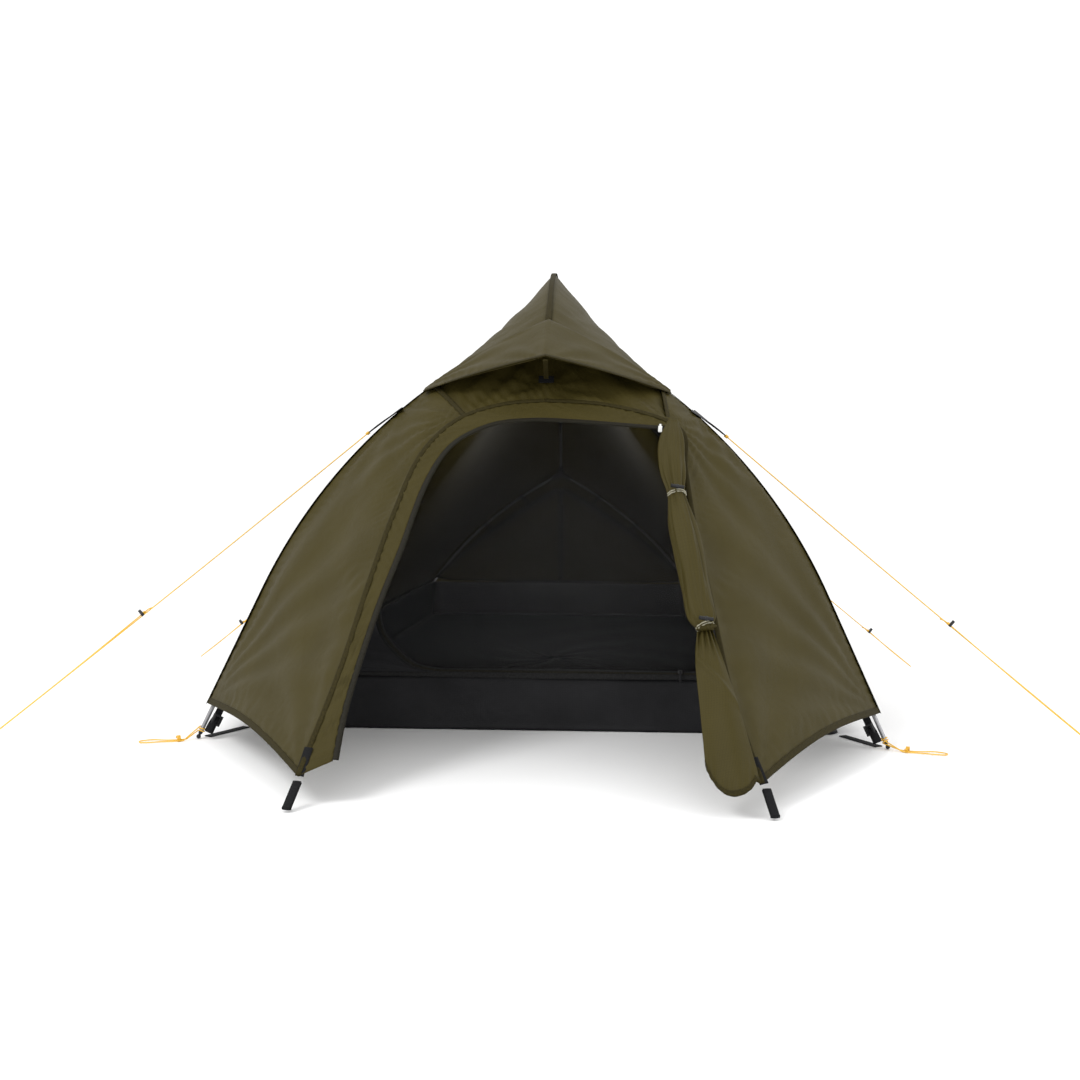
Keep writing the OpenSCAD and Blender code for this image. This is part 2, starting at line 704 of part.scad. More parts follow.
// Two sliders parked side by side at the top right end of the zip
slider_x = [238, 251];
slider_gap = 0.6;
zip_fall = atan(7 / 100);
module on_zip(x) {
    p = in_plane([x, 648.2 + (255 - x) * 0.07]);
    in_door_plane()
        translate([p[0], p[1] - 5, zip_t + slider_gap]) rotate([0, 0, -zip_fall]) children();
}
module slider() {
    translate([-4, -4.5, 0]) cube([8, 9, 2.6]);
    translate([-4, -1.5, 2.6]) cube([1.5, 3, 2.4]);
    translate([2.5, -1.5, 2.6]) cube([1.5, 3, 2.4]);
    translate([-4, 0, 5]) rotate([0, 90, 0]) cylinder(8, 0.7, 0.7, $fn = 24);
}
module pull() {
    translate([0, 0, 5])
        difference() {
            union() {
                rotate([0, 90, 0]) translate([0, 0, -2]) cylinder(4, 1.8, 1.8, $fn = 24);
                translate([-2, -5, -0.8]) cube([4, 4, 1.6]);
                translate([-4, -21, -0.8]) cube([8, 17, 1.6]);
            }
            rotate([0, 90, 0]) translate([0, 0, -3]) cylinder(6, 0.95, 0.95, $fn = 24);
        }
}
module zip_slider_left() {
    color("gray") on_zip(slider_x[0]) slider();
}
module zip_slider_right() {
    color("gray") on_zip(slider_x[1]) slider();
}
module zip_pull_left() {
    color("white") on_zip(slider_x[0]) pull();
}
module zip_pull_right() {
    color("white") on_zip(slider_x[1]) pull();
}

// The hood over the vent: from the hub and the upper legs forward to an edge held up by the prop
hood_peak = [0, front_y + 78, 790];
hood_rise = 8;
function hood_leg(side, s) = front_leg(side, mix(300, leg_top(fly_gap + 8), s), fly_gap + 8);
function hood_edge(side, s) =
    let (a = hood_leg(side, 0) + [0, -30, -8]) mix(a, hood_peak, s)
        + [0, -10, 4] * sin(180 * s);
module vent_hood() {
    color([0.31, 0.29, 0.17])
        sheet(concat(
            [for (i = [0:10]) [for (j = [0:4])
                mix(hood_leg(-1, i / 10), hood_edge(-1, i / 10), j / 4)]],
            [for (i = [9:-1:0]) [for (j = [0:4])
                mix(hood_leg(1, i / 10), hood_edge(1, i / 10), j / 4)]]));
}
prop_len = 86;
prop_angle = 24;
prop_pin = hood_peak + [0, 8, -8];
module vent_prop() {
    color("black")
        translate(prop_pin)
            rotate([-prop_angle, 0, 0]) {
                translate([-5, 0, -1]) cube([10, prop_len, 2]);
                rotate([0, 90, 0]) translate([0, 0, -5]) cylinder(10, 2.2, 2.2, $fn = 24);
            }
}
patch_at = [0, front_y + 172, 745];
module vent_patch() {
    color("black")
        translate(patch_at)
            rotate([50, 0, 0]) translate([-16, -9, 0]) cube([32, 18, 1.6]);
}

// A hooded vent low on the rear panel
rear_vent_lift = 26;
module rear_vent_hood() {
    color([0.31, 0.29, 0.17])
        sheet([for (i = [0:5]) let (s = mix(0.36, 0.5, i / 5))
            [for (j = [0:8]) rear_point(s, mix(0.5 - 0.11 * i / 5 - 0.01, 0.51 + 0.11 * i / 5, j / 8))
                + [0, 0.86, 0.5] * (3 + rear_vent_lift * sin(22.5 * j) * i / 5)]]);
}

// The door cloth rolled up along the right seam, pinched where the toggles hold it
roll_line = [[262, 636], [258, 560], [266, 475], [284, 370], [296, 290], [306, 262]];
roll_steps = 22;
roll_lift = 24;
upper_pinch = 0.36;
lower_pinch = 0.95;
function plump(s) = 1 - 0.38 * exp(-pow((s - upper_pinch) / 0.07, 2))
    - 0.42 * exp(-pow((s - lower_pinch) / 0.08, 2)) - 0.58 * exp(-pow(s / 0.09, 2));
function roll_point(s) = door_point(spline(roll_line, s)) + [0, -roll_lift, roll_lift] * 0.9;
module rolled_door() {
    color([0.3, 0.28, 0.16])
        tube([for (i = [0:roll_steps]) roll_point(i / roll_steps)],
            [for (i = [0:roll_steps]) 27 * plump(i / roll_steps)],
            [for (i = [0:roll_steps]) 19 * plump(i / roll_steps)], [0, -1, 1]);
}

// Below the lower toggle the end of the door hangs loose, in soft folds down to the hem
skirt_top = [[290, 246], [312, 246]];
skirt_foot = [[292, 36], [374, 30]];
module door_skirt() {
    color([0.3, 0.28, 0.16])
        sheet([for (i = [0:10]) let (s = i / 10)
            [for (j = [0:12]) let (t = j / 12)
                door_point(mix(mix(skirt_top[0], skirt_top[1], t),
                    mix(skirt_foot[0], skirt_foot[1], t), pow(s, 0.8)))
                    + [0, -1, 1] * (16 + 7 * s * sin(540 * t))]], 2.4);
}

// Toggles: a short bar on an elastic loop, one above the other, that hold the rolled door
toggle_r = 3.5;
toggle_half = 13;
toggle_at = [
    roll_point(upper_pinch) + [0, -1, 1] * 16.6,
    roll_point(lower_pinch) + [0, -1, 1] * 17
];
module toggle(p) {
    color("black")
        translate(p)
            rotate([-90 + door_lean, 0, 0])
                rotate([0, 0, 12]) {
                    translate([-toggle_half, 0, 0])
                        rotate([0, 90, 0]) cylinder(2 * toggle_half, toggle_r, toggle_r, $fn = 24);
                    sphere(toggle_r + 1, $fn = 24);
                }
}
module upper_toggle() {
    toggle(toggle_at[0]);
}
module lower_toggle() {
    toggle(toggle_at[1]);
}
loop_t = 1.5;
module pinch_loop(p, wide, deep) {
    translate(p)
        rotate([90 - door_lean, 0, 0])
            rotate([90, 0, 0])
                linear_extrude(4, center = true)
                    difference() {
                        square([2 * wide, 2 * deep], center = true);
                        square([2 * (wide - loop_t), 2 * (deep - loop_t)], center = true);
                    }
}
module toggle_loops() {
    color([0.75, 0.72, 0.6]) {
        pinch_loop(roll_point(upper_pinch), 22, 16.5);
        pinch_loop(roll_point(lower_pinch), 22, 17);
    }
}

// Webbing peg loops: a flat ring of webbing from the hem to the ground, hung on a pin of thread
webbing_w = 15;
webbing_t = 1.5;
module peg_loop(from, to) {
    length = norm(to - from);
    along(from, to)
        rotate([90, 0, 0])
            linear_extrude(webbing_w, center = true)
                difference() {
                    union() {
                        circle(4, $fn = 32);
                        translate([0, -4]) square([length - 4, 8]);
                        translate([length - 4, 0]) circle(4, $fn = 32);
                    }
                    circle(4 - webbing_t, $fn = 32);
                    translate([0, webbing_t - 4]) square([length - 4, 8 - 2 * webbing_t]);
                    translate([length - 4, 0]) circle(4 - webbing_t, $fn = 32);
                }
}
peg_from = [394, front_y - 534, door_corner_z - 8];
peg_to = [405, front_y - 576, 5];
rear_peg_from = [0, rear_y + 112, 42];
rear_peg_to = [0, -front_y + 578, 5];
module peg_loop_left() {
    color("black") peg_loop([-peg_from[0], peg_from[1], peg_from[2]], [-peg_to[0], peg_to[1], peg_to[2]]);
}
module peg_loop_right() {
    color("black") peg_loop(peg_from, peg_to);
}
module peg_loop_rear() {
    color("black") peg_loop(rear_peg_from, rear_peg_to);
}

// At each foot a webbing strap runs from the fly hem through a buckle to the pole tip
strap_ends = [
    [front_leg(1, hem_front + 2, -17), front_leg(1, leg_end - 6, -17)],
    [rear_leg(1, hem_rear + 2, -17), rear_leg(1, rear_end - 6, -17)]
];
module fly_corner_straps() {
    color("black")
        for (side = [0, 1])
            mirror([side, 0, 0])
                for (e = strap_ends)
                    along(e[0], e[1])
                        rotate([90, 0, 0])
                            translate([0, -7.5, -0.8]) cube([norm(e[1] - e[0]), 15, 1.6]);
}
module fly_corner_buckles() {
    color([0.05, 0.05, 0.05])
        for (side = [0, 1])
            mirror([side, 0, 0])
                for (e = strap_ends)
                    along(e[0], e[1])
                        rotate([90, 0, 0])
                            translate([norm(e[1] - e[0]) * 0.45, 0, 5])
                                difference() {
                                    cube([22, 20, 7], center = true);
                                    cube([15, 12, 12], center = true);
                                }
}

// Guy lines: each starts at a tab on the fly, ends in a loop on the ground and has a tensioner
cord_r = 1.25;
front_exit = [382, front_y + 222, 632];
front_stake = [1130, front_y, 2];
side_exit = [432, front_y + 1100, 452];
side_stake = [980, front_y + 1060, 2];
front_slide = 620;
side_slide = 560;
function flip(p, side) = [side * p[0], p[1], p[2]];
tab_base = [
    front_leg(1, 366, fly_gap + 3),
    fly_side(1, 0.55, 0.52) + [20, 0, 20]
];
tab_end = [front_exit, side_exit];
tab_gap = 3;
module guy_tabs() {
    color([0.1, 0.1, 0.08])
        for (side = [0, 1])
            mirror([side, 0, 0])
                for (i = [0, 1])
                    along(tab_base[i], tab_end[i])
                        linear_extrude(cloth, center = true)
                            polygon([[1, -24], [1, 24], [norm(tab_end[i] - tab_base[i]) - tab_gap, 5],
                                [norm(tab_end[i] - tab_base[i]) - tab_gap, -5]]);
}

// A guy's route: the standing line to the stake loop, round it, and back to the tensioner
guy_strand = 9;
function unit(v) = v / norm(v);
function guy_side(exit, stake) = let (d = unit(stake - exit)) unit(cross(d, [0, 0, 1]));
function guy_route(exit, stake, slide) =
    let (d = unit(stake - exit), w = guy_side(exit, stake), n = norm(stake - exit))
    concat(
        [for (i = [0:15]) exit + d * mix(0, n - 12, i / 15)],
        [for (a = [30:30:150]) exit + d * (n - 12 + 5 * sin(a)) + w * guy_strand * (1 - cos(a)) / 2],
        [for (i = [0:8]) exit + d * mix(n - 12, slide + 6, i / 8) + w * guy_strand]);
module guy(exit, stake, slide) {
    color([0.92, 0.7, 0.18])
        tube(guy_route(exit, stake, slide), cord_r, cord_r);
}
module guy_front_left() {
    guy(flip(front_exit, -1), flip(front_stake, -1), front_slide);
}
module guy_front_right() {
    guy(front_exit, front_stake, front_slide);
}
module guy_side_left() {
    guy(flip(side_exit, -1), flip(side_stake, -1), side_slide);
}
module guy_side_right() {
    guy(side_exit, side_stake, side_slide);
}

// A tensioner: a small plate with a bore round the standing line and a hole for the returning end
tensioner_l = 6;
module tensioner(exit, stake, slide) {
    d = unit(stake - exit);
    w = guy_side(exit, stake);
    color("black")
        along(exit + d * slide, stake)
            difference() {
                translate([-tensioner_l, 0, 0])
                    rotate([90, 0, 90])
                        linear_extrude(tensioner_l)
                            hull() {
                                circle(3.4, $fn = 32);
                                translate([-guy_strand, 0]) circle(3.4, $fn = 32);
                                translate([-guy_strand / 2, 9]) circle(2.4, $fn = 32);
                            }
                translate([-20, 0, 0]) rotate([0, 90, 0]) cylinder(40, 1.7, 1.7, $fn = 24);
                translate([-20, -guy_strand, 0]) rotate([0, 90, 0]) cylinder(40, 1.4, 1.4, $fn = 24);
            }
}
module tensioner_front_left() {
    tensioner(flip(front_exit, -1), flip(front_stake, -1), front_slide);
}
module tensioner_front_right() {
    tensioner(front_exit, front_stake, front_slide);
}
module tensioner_side_left() {
    tensioner(flip(side_exit, -1), flip(side_stake, -1), side_slide);
}
module tensioner_side_right() {
    tensioner(side_exit, side_stake, side_slide);
}

// A loop of cord lies on the ground outside each front foot
foot_route = [
    [724, front_y - 14, 2], [742, front_y - 24, 2], [764, front_y - 28, 2], [786, front_y - 25, 2],
    [802, front_y - 32, 2], [812, front_y - 44, 2], [804, front_y - 56, 2], [786, front_y - 52, 2],
    [766, front_y - 44, 2], [744, front_y - 38, 2], [726, front_y - 30, 2]
];
module foot_loop(side) {
    color([0.92, 0.7, 0.18])
        tube([for (i = [0:40]) flip(spline(foot_route, i / 40), side)], cord_r, cord_r);
}
module foot_loop_left() {
    foot_loop(-1);
}
module foot_loop_right() {
    foot_loop(1);
}

front_hub();
rear_hub();
front_left_pole();
front_right_pole();
ridge_pole();
rear_left_pole();
rear_right_pole();
pole_ferrules();
shock_cords();
pole_tips();
inner_floor();
inner_front_wall();
inner_door();
inner_left_wall();
inner_right_wall();
inner_rear_wall();
inner_clips();
inner_corner_tabs();
inner_door_zip();
inner_zip_slider();
inner_zip_pull();
fly_left_panel();
fly_right_panel();
fly_rear_panel();
fly_brow_panel();
vestibule_left_panel();
vestibule_right_panel();
door_band();
vent_hood();
vent_prop();
vent_patch();
rear_vent_hood();
rolled_door();
door_skirt();
upper_toggle();
lower_toggle();
toggle_loops();
fly_zip();
zip_slider_left();
zip_slider_right();
zip_pull_left();
zip_pull_right();
peg_loop_left();
peg_loop_right();
peg_loop_rear();
fly_corner_straps();
fly_corner_buckles();
guy_tabs();
tensioner_front_left();
tensioner_front_right();
tensioner_side_left();
tensioner_side_right();
guy_front_left();
guy_front_right();
guy_side_left();
guy_side_right();
foot_loop_left();
foot_loop_right();
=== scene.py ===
"""Looks of a one-person trekking tent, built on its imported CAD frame. All lengths are in metres."""
import math

import bpy
import numpy as np
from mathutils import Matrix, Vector


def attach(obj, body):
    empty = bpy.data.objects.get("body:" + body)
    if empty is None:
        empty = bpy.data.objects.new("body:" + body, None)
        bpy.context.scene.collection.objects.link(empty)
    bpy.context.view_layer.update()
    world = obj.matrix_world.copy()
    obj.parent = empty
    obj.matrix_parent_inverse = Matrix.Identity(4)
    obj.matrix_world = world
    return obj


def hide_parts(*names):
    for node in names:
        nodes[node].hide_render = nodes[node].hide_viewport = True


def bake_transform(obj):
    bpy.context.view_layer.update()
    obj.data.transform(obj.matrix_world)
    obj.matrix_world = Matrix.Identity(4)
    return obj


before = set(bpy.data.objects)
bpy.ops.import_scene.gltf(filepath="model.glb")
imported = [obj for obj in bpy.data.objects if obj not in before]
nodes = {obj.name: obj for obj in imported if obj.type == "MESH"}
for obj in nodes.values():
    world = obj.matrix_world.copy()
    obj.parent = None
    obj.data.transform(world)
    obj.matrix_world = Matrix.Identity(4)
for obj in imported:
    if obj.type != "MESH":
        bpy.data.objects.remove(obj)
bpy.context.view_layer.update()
MM = 0.001
TENT = "tent"

# ---------------- driving dimensions, as in the CAD
FRONT_Y = -0.960
REAR_Y = 1.330
FRONT_RISE, REAR_RISE = 0.912, 0.578
FRONT_LEAN, REAR_LEAN = math.radians(19), math.radians(31)
HALF_SPAN, REAR_HALF = 0.705, 0.515
SPLAY = math.radians(22)
FRONT_SLOPE, REAR_SLOPE = math.radians(24), math.radians(32)
RIDGE_R = 1.330
FLY_GAP, INNER_GAP = 0.013, 0.045
REACH, DOOR_SLOPE = 0.580, 1.03
REAR_STAND_OFF, FRONT_STAND_OFF = 0.018, 0.014
# How far down the front leg the front guys pull
GUY_PULL = 0.366
SIDES = ((-1, "left"), (1, "right"))


def arr(*p):
    return np.array(p, dtype=float)


def unit(v):
    return v / max(np.linalg.norm(v), 1e-9)


def mix(a, b, s):
    return a * (1 - s) + b * s


def smooth(a, b, x):
    t = np.clip((x - a) / (b - a), 0, 1)
    return t * t * (3 - 2 * t)


# The front leg is a straight lower part and an arc, and the rear leg is one arc
CHORD = (math.pi / 2 - SPLAY + FRONT_SLOPE) / 2
TURN = math.pi / 2 - SPLAY - FRONT_SLOPE
BEND_V = (FRONT_RISE - HALF_SPAN * math.tan(CHORD)) / (1 - math.tan(SPLAY) * math.tan(CHORD))
BEND_U = HALF_SPAN - BEND_V * math.tan(SPLAY)
LEG_R = math.hypot(BEND_U, FRONT_RISE - BEND_V) / (2 * math.sin(TURN / 2))
LEG_C = arr(-LEG_R * math.sin(FRONT_SLOPE), FRONT_RISE - LEG_R * math.cos(FRONT_SLOPE))
LEG_ARC = LEG_R * TURN
LEG_STRAIGHT = BEND_V / math.cos(SPLAY)
REAR_TURN = 2 * (math.atan2(REAR_RISE, REAR_HALF) - REAR_SLOPE)
REAR_R = math.hypot(REAR_HALF, REAR_RISE) / (2 * math.sin(REAR_TURN / 2))
REAR_C = arr(-REAR_R * math.sin(REAR_SLOPE), REAR_RISE - REAR_R * math.cos(REAR_SLOPE))
REAR_ARC = REAR_R * REAR_TURN
HUB_F = arr(FRONT_Y + FRONT_RISE * math.sin(FRONT_LEAN), FRONT_RISE * math.cos(FRONT_LEAN))
HUB_R = arr(REAR_Y - REAR_RISE * math.sin(REAR_LEAN), REAR_RISE * math.cos(REAR_LEAN))
HUB_GAP = HUB_R - HUB_F
RIDGE_C = (HUB_F + HUB_R) / 2 + arr(HUB_GAP[1], -HUB_GAP[0]) / np.linalg.norm(HUB_GAP) * math.sqrt(
    RIDGE_R ** 2 - (np.linalg.norm(HUB_GAP) / 2) ** 2)
RIDGE_FROM = math.atan2(HUB_F[0] - RIDGE_C[0], HUB_F[1] - RIDGE_C[1])
RIDGE_TO = math.atan2(HUB_R[0] - RIDGE_C[0], HUB_R[1] - RIDGE_C[1])
HEM_FRONT = LEG_ARC + LEG_STRAIGHT - 0.074
HEM_REAR = REAR_ARC - 0.072


def front_leg(side, d, off):
    if d < LEG_ARC:
        a = FRONT_SLOPE + d / LEG_R
        u, v = LEG_C + (LEG_R + off) * arr(math.sin(a), math.cos(a))
    else:
        u = BEND_U + (d - LEG_ARC) * math.sin(SPLAY) + off * math.cos(SPLAY)
        v = BEND_V - (d - LEG_ARC) * math.cos(SPLAY) + off * math.sin(SPLAY)
    return arr(side * u, FRONT_Y + v * math.sin(FRONT_LEAN), v * math.cos(FRONT_LEAN))


def leg_top(off):
    return (math.asin(LEG_R * math.sin(FRONT_SLOPE) / (LEG_R + off)) - FRONT_SLOPE) * LEG_R


def rear_leg(side, d, off):
    a = REAR_SLOPE + d / REAR_R
    u, v = REAR_C + (REAR_R + off) * arr(math.sin(a), math.cos(a))
    return arr(side * u, REAR_Y - v * math.sin(REAR_LEAN), v * math.cos(REAR_LEAN))


def rear_top(off):
    return (math.asin(REAR_R * math.sin(REAR_SLOPE) / (REAR_R + off)) - REAR_SLOPE) * REAR_R


def ridge(s, off):
    a = mix(RIDGE_FROM, RIDGE_TO, s)
    r = RIDGE_R + off
    return arr(0, RIDGE_C[0] + r * math.sin(a), RIDGE_C[1] + r * math.cos(a))


def ridge_lift(t, off):
    """How far the ridge stands over a straight line between its ends."""
    return ridge(t, off) - mix(ridge(0, off), ridge(1, off), t)


def fly_front(side, s):
    return front_leg(side, mix(leg_top(FLY_GAP), HEM_FRONT, s), FLY_GAP)


def fly_rear(side, s):
    return rear_leg(side, mix(rear_top(FLY_GAP), HEM_REAR, s), FLY_GAP) + arr(0, REAR_STAND_OFF, 0)


def spline(points, s):
    p = np.asarray(points, dtype=float)
    n = len(p) - 1
    t = min(max(s, 0), 1) * n
    i = min(int(t), n - 1)
    u = t - i
    a, b, c, d = p[max(i - 1, 0)], p[i], p[i + 1], p[min(i + 2, n)]
    return 0.5 * (2 * b + (c - a) * u + (2 * a - 5 * b + 4 * c - d) * u * u
                  + (3 * b - a - 3 * c + d) * u ** 3)


# Outlines in the door plane, as (x, z) in millimetres, and the door plane itself
SEAM_LEFT = [(-395, 50), (-352, 196), (-316, 363), (-287, 480), (-250, 585), (-185, 656), (-95, 690),
             (0, 700)]
SEAM_RIGHT = [(388, 50), (346, 180), (318, 340), (297, 460), (286, 560), (276, 645), (140, 690),
              (0, 700)]
OPENING = [(-339, 72), (-332, 160), (-302, 300), (-270, 410), (-237, 530), (-191, 608), (-115, 650),
           (-30, 662), (60, 660), (165, 653), (265, 646)]
DOOR_NORMAL = unit(arr(0, -1, DOOR_SLOPE))


def door_point(p):
    """The point of the door plane at (x, z) in millimetres."""
    return arr(p[0] * MM, FRONT_Y - REACH + DOOR_SLOPE * p[1] * MM, p[1] * MM)


def seam_at(side, s):
    return door_point(spline(SEAM_LEFT if side < 0 else SEAM_RIGHT, s))


# ---------------- camera and light
def make_camera():
    cam = bpy.data.objects.new("camera", bpy.data.cameras.new("camera"))
    cam.data.lens = 49.7
    cam.data.sensor_width = 36
    cam.location = (0.09, FRONT_Y - 3.0, 0.634)
    cam.rotation_euler = (math.radians(90 - 4.14), math.radians(-0.5), math.radians(1.85))
    bpy.context.scene.collection.objects.link(cam)
    bpy.context.scene.camera = cam


def area_light(name, place, target, size, power):
    lamp = bpy.data.objects.new(name, bpy.data.lights.new(name, "AREA"))
    lamp.data.size = size
    lamp.data.energy = power
    lamp.location = place
    lamp.rotation_euler = (Vector(target) - Vector(place)).to_track_quat("-Z", "Y").to_euler()
    bpy.context.scene.collection.objects.link(lamp)


def make_stage():
    bpy.ops.mesh.primitive_plane_add(size=40, location=(0, 0, -0.0005))
    floor = bpy.context.object
    floor.name = "floor"
    floor.data.materials.append(plain_material("floor_paint", (0.95, 0.95, 0.95), 0.9))
    world = bpy.data.worlds.new("studio")
    world.use_nodes = True
    world.node_tree.nodes["Background"].inputs[0].default_value = (1, 1, 1, 1)
    world.node_tree.nodes["Background"].inputs[1].default_value = 1.12
    bpy.context.scene.world = world
    bpy.context.scene.view_settings.view_transform = "Standard"
    area_light("key", (-2.4, -3.0, 3.8), (0, -0.5, 0.4), 1.6, 80)
    area_light("fill", (3.2, -2.2, 2.4), (0, 0, 0.4), 2.6, 25)
    area_light("inside", (0, 0.1, 0.60), (0, 1.3, 0.3), 0.12, 7)


# ---------------- materials
def new_material(name, base, rough, metal=0.0):
    mat = bpy.data.materials.new(name)
    mat.use_nodes = True
    shader = mat.node_tree.nodes["Principled BSDF"]
    shader.inputs["Base Color"].default_value = (*base, 1)
    shader.inputs["Roughness"].default_value = rough
    shader.inputs["Metallic"].default_value = metal
    return mat, mat.node_tree, shader


def add(tree, kind, **values):
    node = tree.nodes.new(kind)
    for key, value in values.items():
        if key in node.inputs:
            node.inputs[key].default_value = value
        else:
            setattr(node, key, value)
    return node


def coords(tree, which):
    return add(tree, "ShaderNodeTexCoord").outputs[which]


def varied(tree, shader, vector, dark, light, scale, low=0.35, high=0.65):
    """Drives the base colour by soft noise between two tones."""
    noise = add(tree, "ShaderNodeTexNoise", Scale=scale, Detail=6.0)
    ramp = add(tree, "ShaderNodeValToRGB")
    ramp.color_ramp.elements[0].color = (*dark, 1)
    ramp.color_ramp.elements[1].color = (*light, 1)
    ramp.color_ramp.elements[0].position = low
    ramp.color_ramp.elements[1].position = high
    tree.links.new(vector, noise.inputs["Vector"])
    tree.links.new(noise.outputs["Fac"], ramp.inputs["Fac"])
    tree.links.new(ramp.outputs["Color"], shader.inputs["Base Color"])
    return ramp


def bumped(tree, shader, height, strength, distance, under=None):
    bump = add(tree, "ShaderNodeBump", Strength=strength, Distance=distance)
    tree.links.new(height, bump.inputs["Height"])
    if under:
        tree.links.new(under, bump.inputs["Normal"])
    tree.links.new(bump.outputs["Normal"], shader.inputs["Normal"])
    return bump.outputs["Normal"]


def plain_material(name, base, rough):
    mat, tree, shader = new_material(name, base, rough)
    varied(tree, shader, coords(tree, "Object"), base, tuple(c * 1.02 for c in base), 3.0)
    return mat


def weave(tree, vector, pitch):
    """Height of a plain weave whose threads are pitch apart."""
    waves = []
    for turn in ("X", "Y"):
        wave = add(tree, "ShaderNodeTexWave", Scale=1 / pitch / 3.1416 / 2, wave_type="BANDS")
        wave.bands_direction = turn
        tree.links.new(vector, wave.inputs["Vector"])
        waves.append(wave.outputs["Fac"])
    most = add(tree, "ShaderNodeMath", operation="MULTIPLY")
    tree.links.new(waves[0], most.inputs[0])
    tree.links.new(waves[1], most.inputs[1])
    return most.outputs[0]


# Spacing of the thicker threads in the cloth
RIPSTOP = 0.005


def ripstop_lines(tree, vector):
    """1 on the thicker threads of a ripstop grid, else 0."""
    split = add(tree, "ShaderNodeSeparateXYZ")
    tree.links.new(vector, split.inputs[0])
    lines = []
    for axis in ("X", "Y"):
        part = add(tree, "ShaderNodeMath", operation="PINGPONG")
        part.inputs[1].default_value = RIPSTOP / 2
        tree.links.new(split.outputs[axis], part.inputs[0])
        near = add(tree, "ShaderNodeMath", operation="LESS_THAN")
        near.inputs[1].default_value = RIPSTOP * 0.08
        tree.links.new(part.outputs[0], near.inputs[0])
        lines.append(near.outputs[0])
    both = add(tree, "ShaderNodeMath", operation="MAXIMUM")
    tree.links.new(lines[0], both.inputs[0])
    tree.links.new(lines[1], both.inputs[1])
    return both.outputs[0]


def nylon(name, dark, light, rough):
    """Coated ripstop nylon: a soft tone change, a fine grid of thicker threads and creased bump."""
    mat, tree, shader = new_material(name, light, rough)
    uv = coords(tree, "UV")
    ramp = varied(tree, shader, uv, dark, light, 7.0)
    lines = ripstop_lines(tree, uv)
    tint = add(tree, "ShaderNodeMix", data_type="RGBA", blend_type="MULTIPLY")
    tint.inputs[7].default_value = (0.86, 0.86, 0.84, 1)
    tree.links.new(lines, tint.inputs[0])
    tree.links.new(ramp.outputs["Color"], tint.inputs[6])
    tree.links.new(tint.outputs[2], shader.inputs["Base Color"])
    creases = add(tree, "ShaderNodeTexNoise", Scale=14.0, Detail=8.0, Distortion=1.4)
    tree.links.new(uv, creases.inputs["Vector"])
    first = bumped(tree, shader, creases.outputs["Fac"], 0.3, 0.006)
    second = bumped(tree, shader, lines, 0.25, 0.0004, first)
    bumped(tree, shader, weave(tree, uv, 0.0008), 0.15, 0.0002, second)
    shader.inputs["Specular IOR Level"].default_value = 0.14
    return mat


def netting(name, base, alpha):
    """Fine netting, see-through by its open share, with thread bump."""
    mat, tree, shader = new_material(name, base, 0.8)
    uv = coords(tree, "UV")
    varied(tree, shader, uv, tuple(c * 0.7 for c in base), base, 9.0)
    bumped(tree, shader, weave(tree, uv, 0.0012), 0.4, 0.0004)
    shader.inputs["Alpha"].default_value = alpha
    return mat


def woven(name, base, pitch, rough=0.75):
    """Tight webbing, tape or braid."""
    mat, tree, shader = new_material(name, base, rough)
    where = coords(tree, "Object")
    varied(tree, shader, where, tuple(c * 0.6 for c in base), base, 300.0)
    bumped(tree, shader, weave(tree, where, pitch), 0.3, pitch * 0.3)
    shader.inputs["Specular IOR Level"].default_value = 0.12
    return mat


def braid(name, base, fleck):
    """Braided cord with darker flecks along it."""
    mat, tree, shader = new_material(name, base, 0.6)
    where = coords(tree, "Object")
    ramp = varied(tree, shader, where, fleck, base, 900.0, 0.38, 0.5)
    bumped(tree, shader, ramp.outputs["Color"], 0.5, 0.0004)
    shader.inputs["Sheen Weight"].default_value = 0.2
    return mat


def grain(tree, shader, where, scale, detail, strength, depth):
    """Fine bump of a hard surface."""
    noise = add(tree, "ShaderNodeTexNoise", Scale=scale, Detail=detail)
    tree.links.new(where, noise.inputs["Vector"])
    bumped(tree, shader, noise.outputs["Fac"], strength, depth)


def metal(name, base, rough):
    mat, tree, shader = new_material(name, base, rough, 0.9)
    where = coords(tree, "Object")
    varied(tree, shader, where, tuple(c * 0.82 for c in base), base, 40.0)
    grain(tree, shader, where, 220.0, 4.0, 0.12, 0.0003)
    return mat


def moulded(name, base, rough):
    mat, tree, shader = new_material(name, base, rough)
    where = coords(tree, "Object")
    varied(tree, shader, where, tuple(c * 0.8 for c in base), base, 120.0)
    grain(tree, shader, where, 900.0, 2.0, 0.15, 0.0002)
    shader.inputs["Specular IOR Level"].default_value = 0.3
    return mat


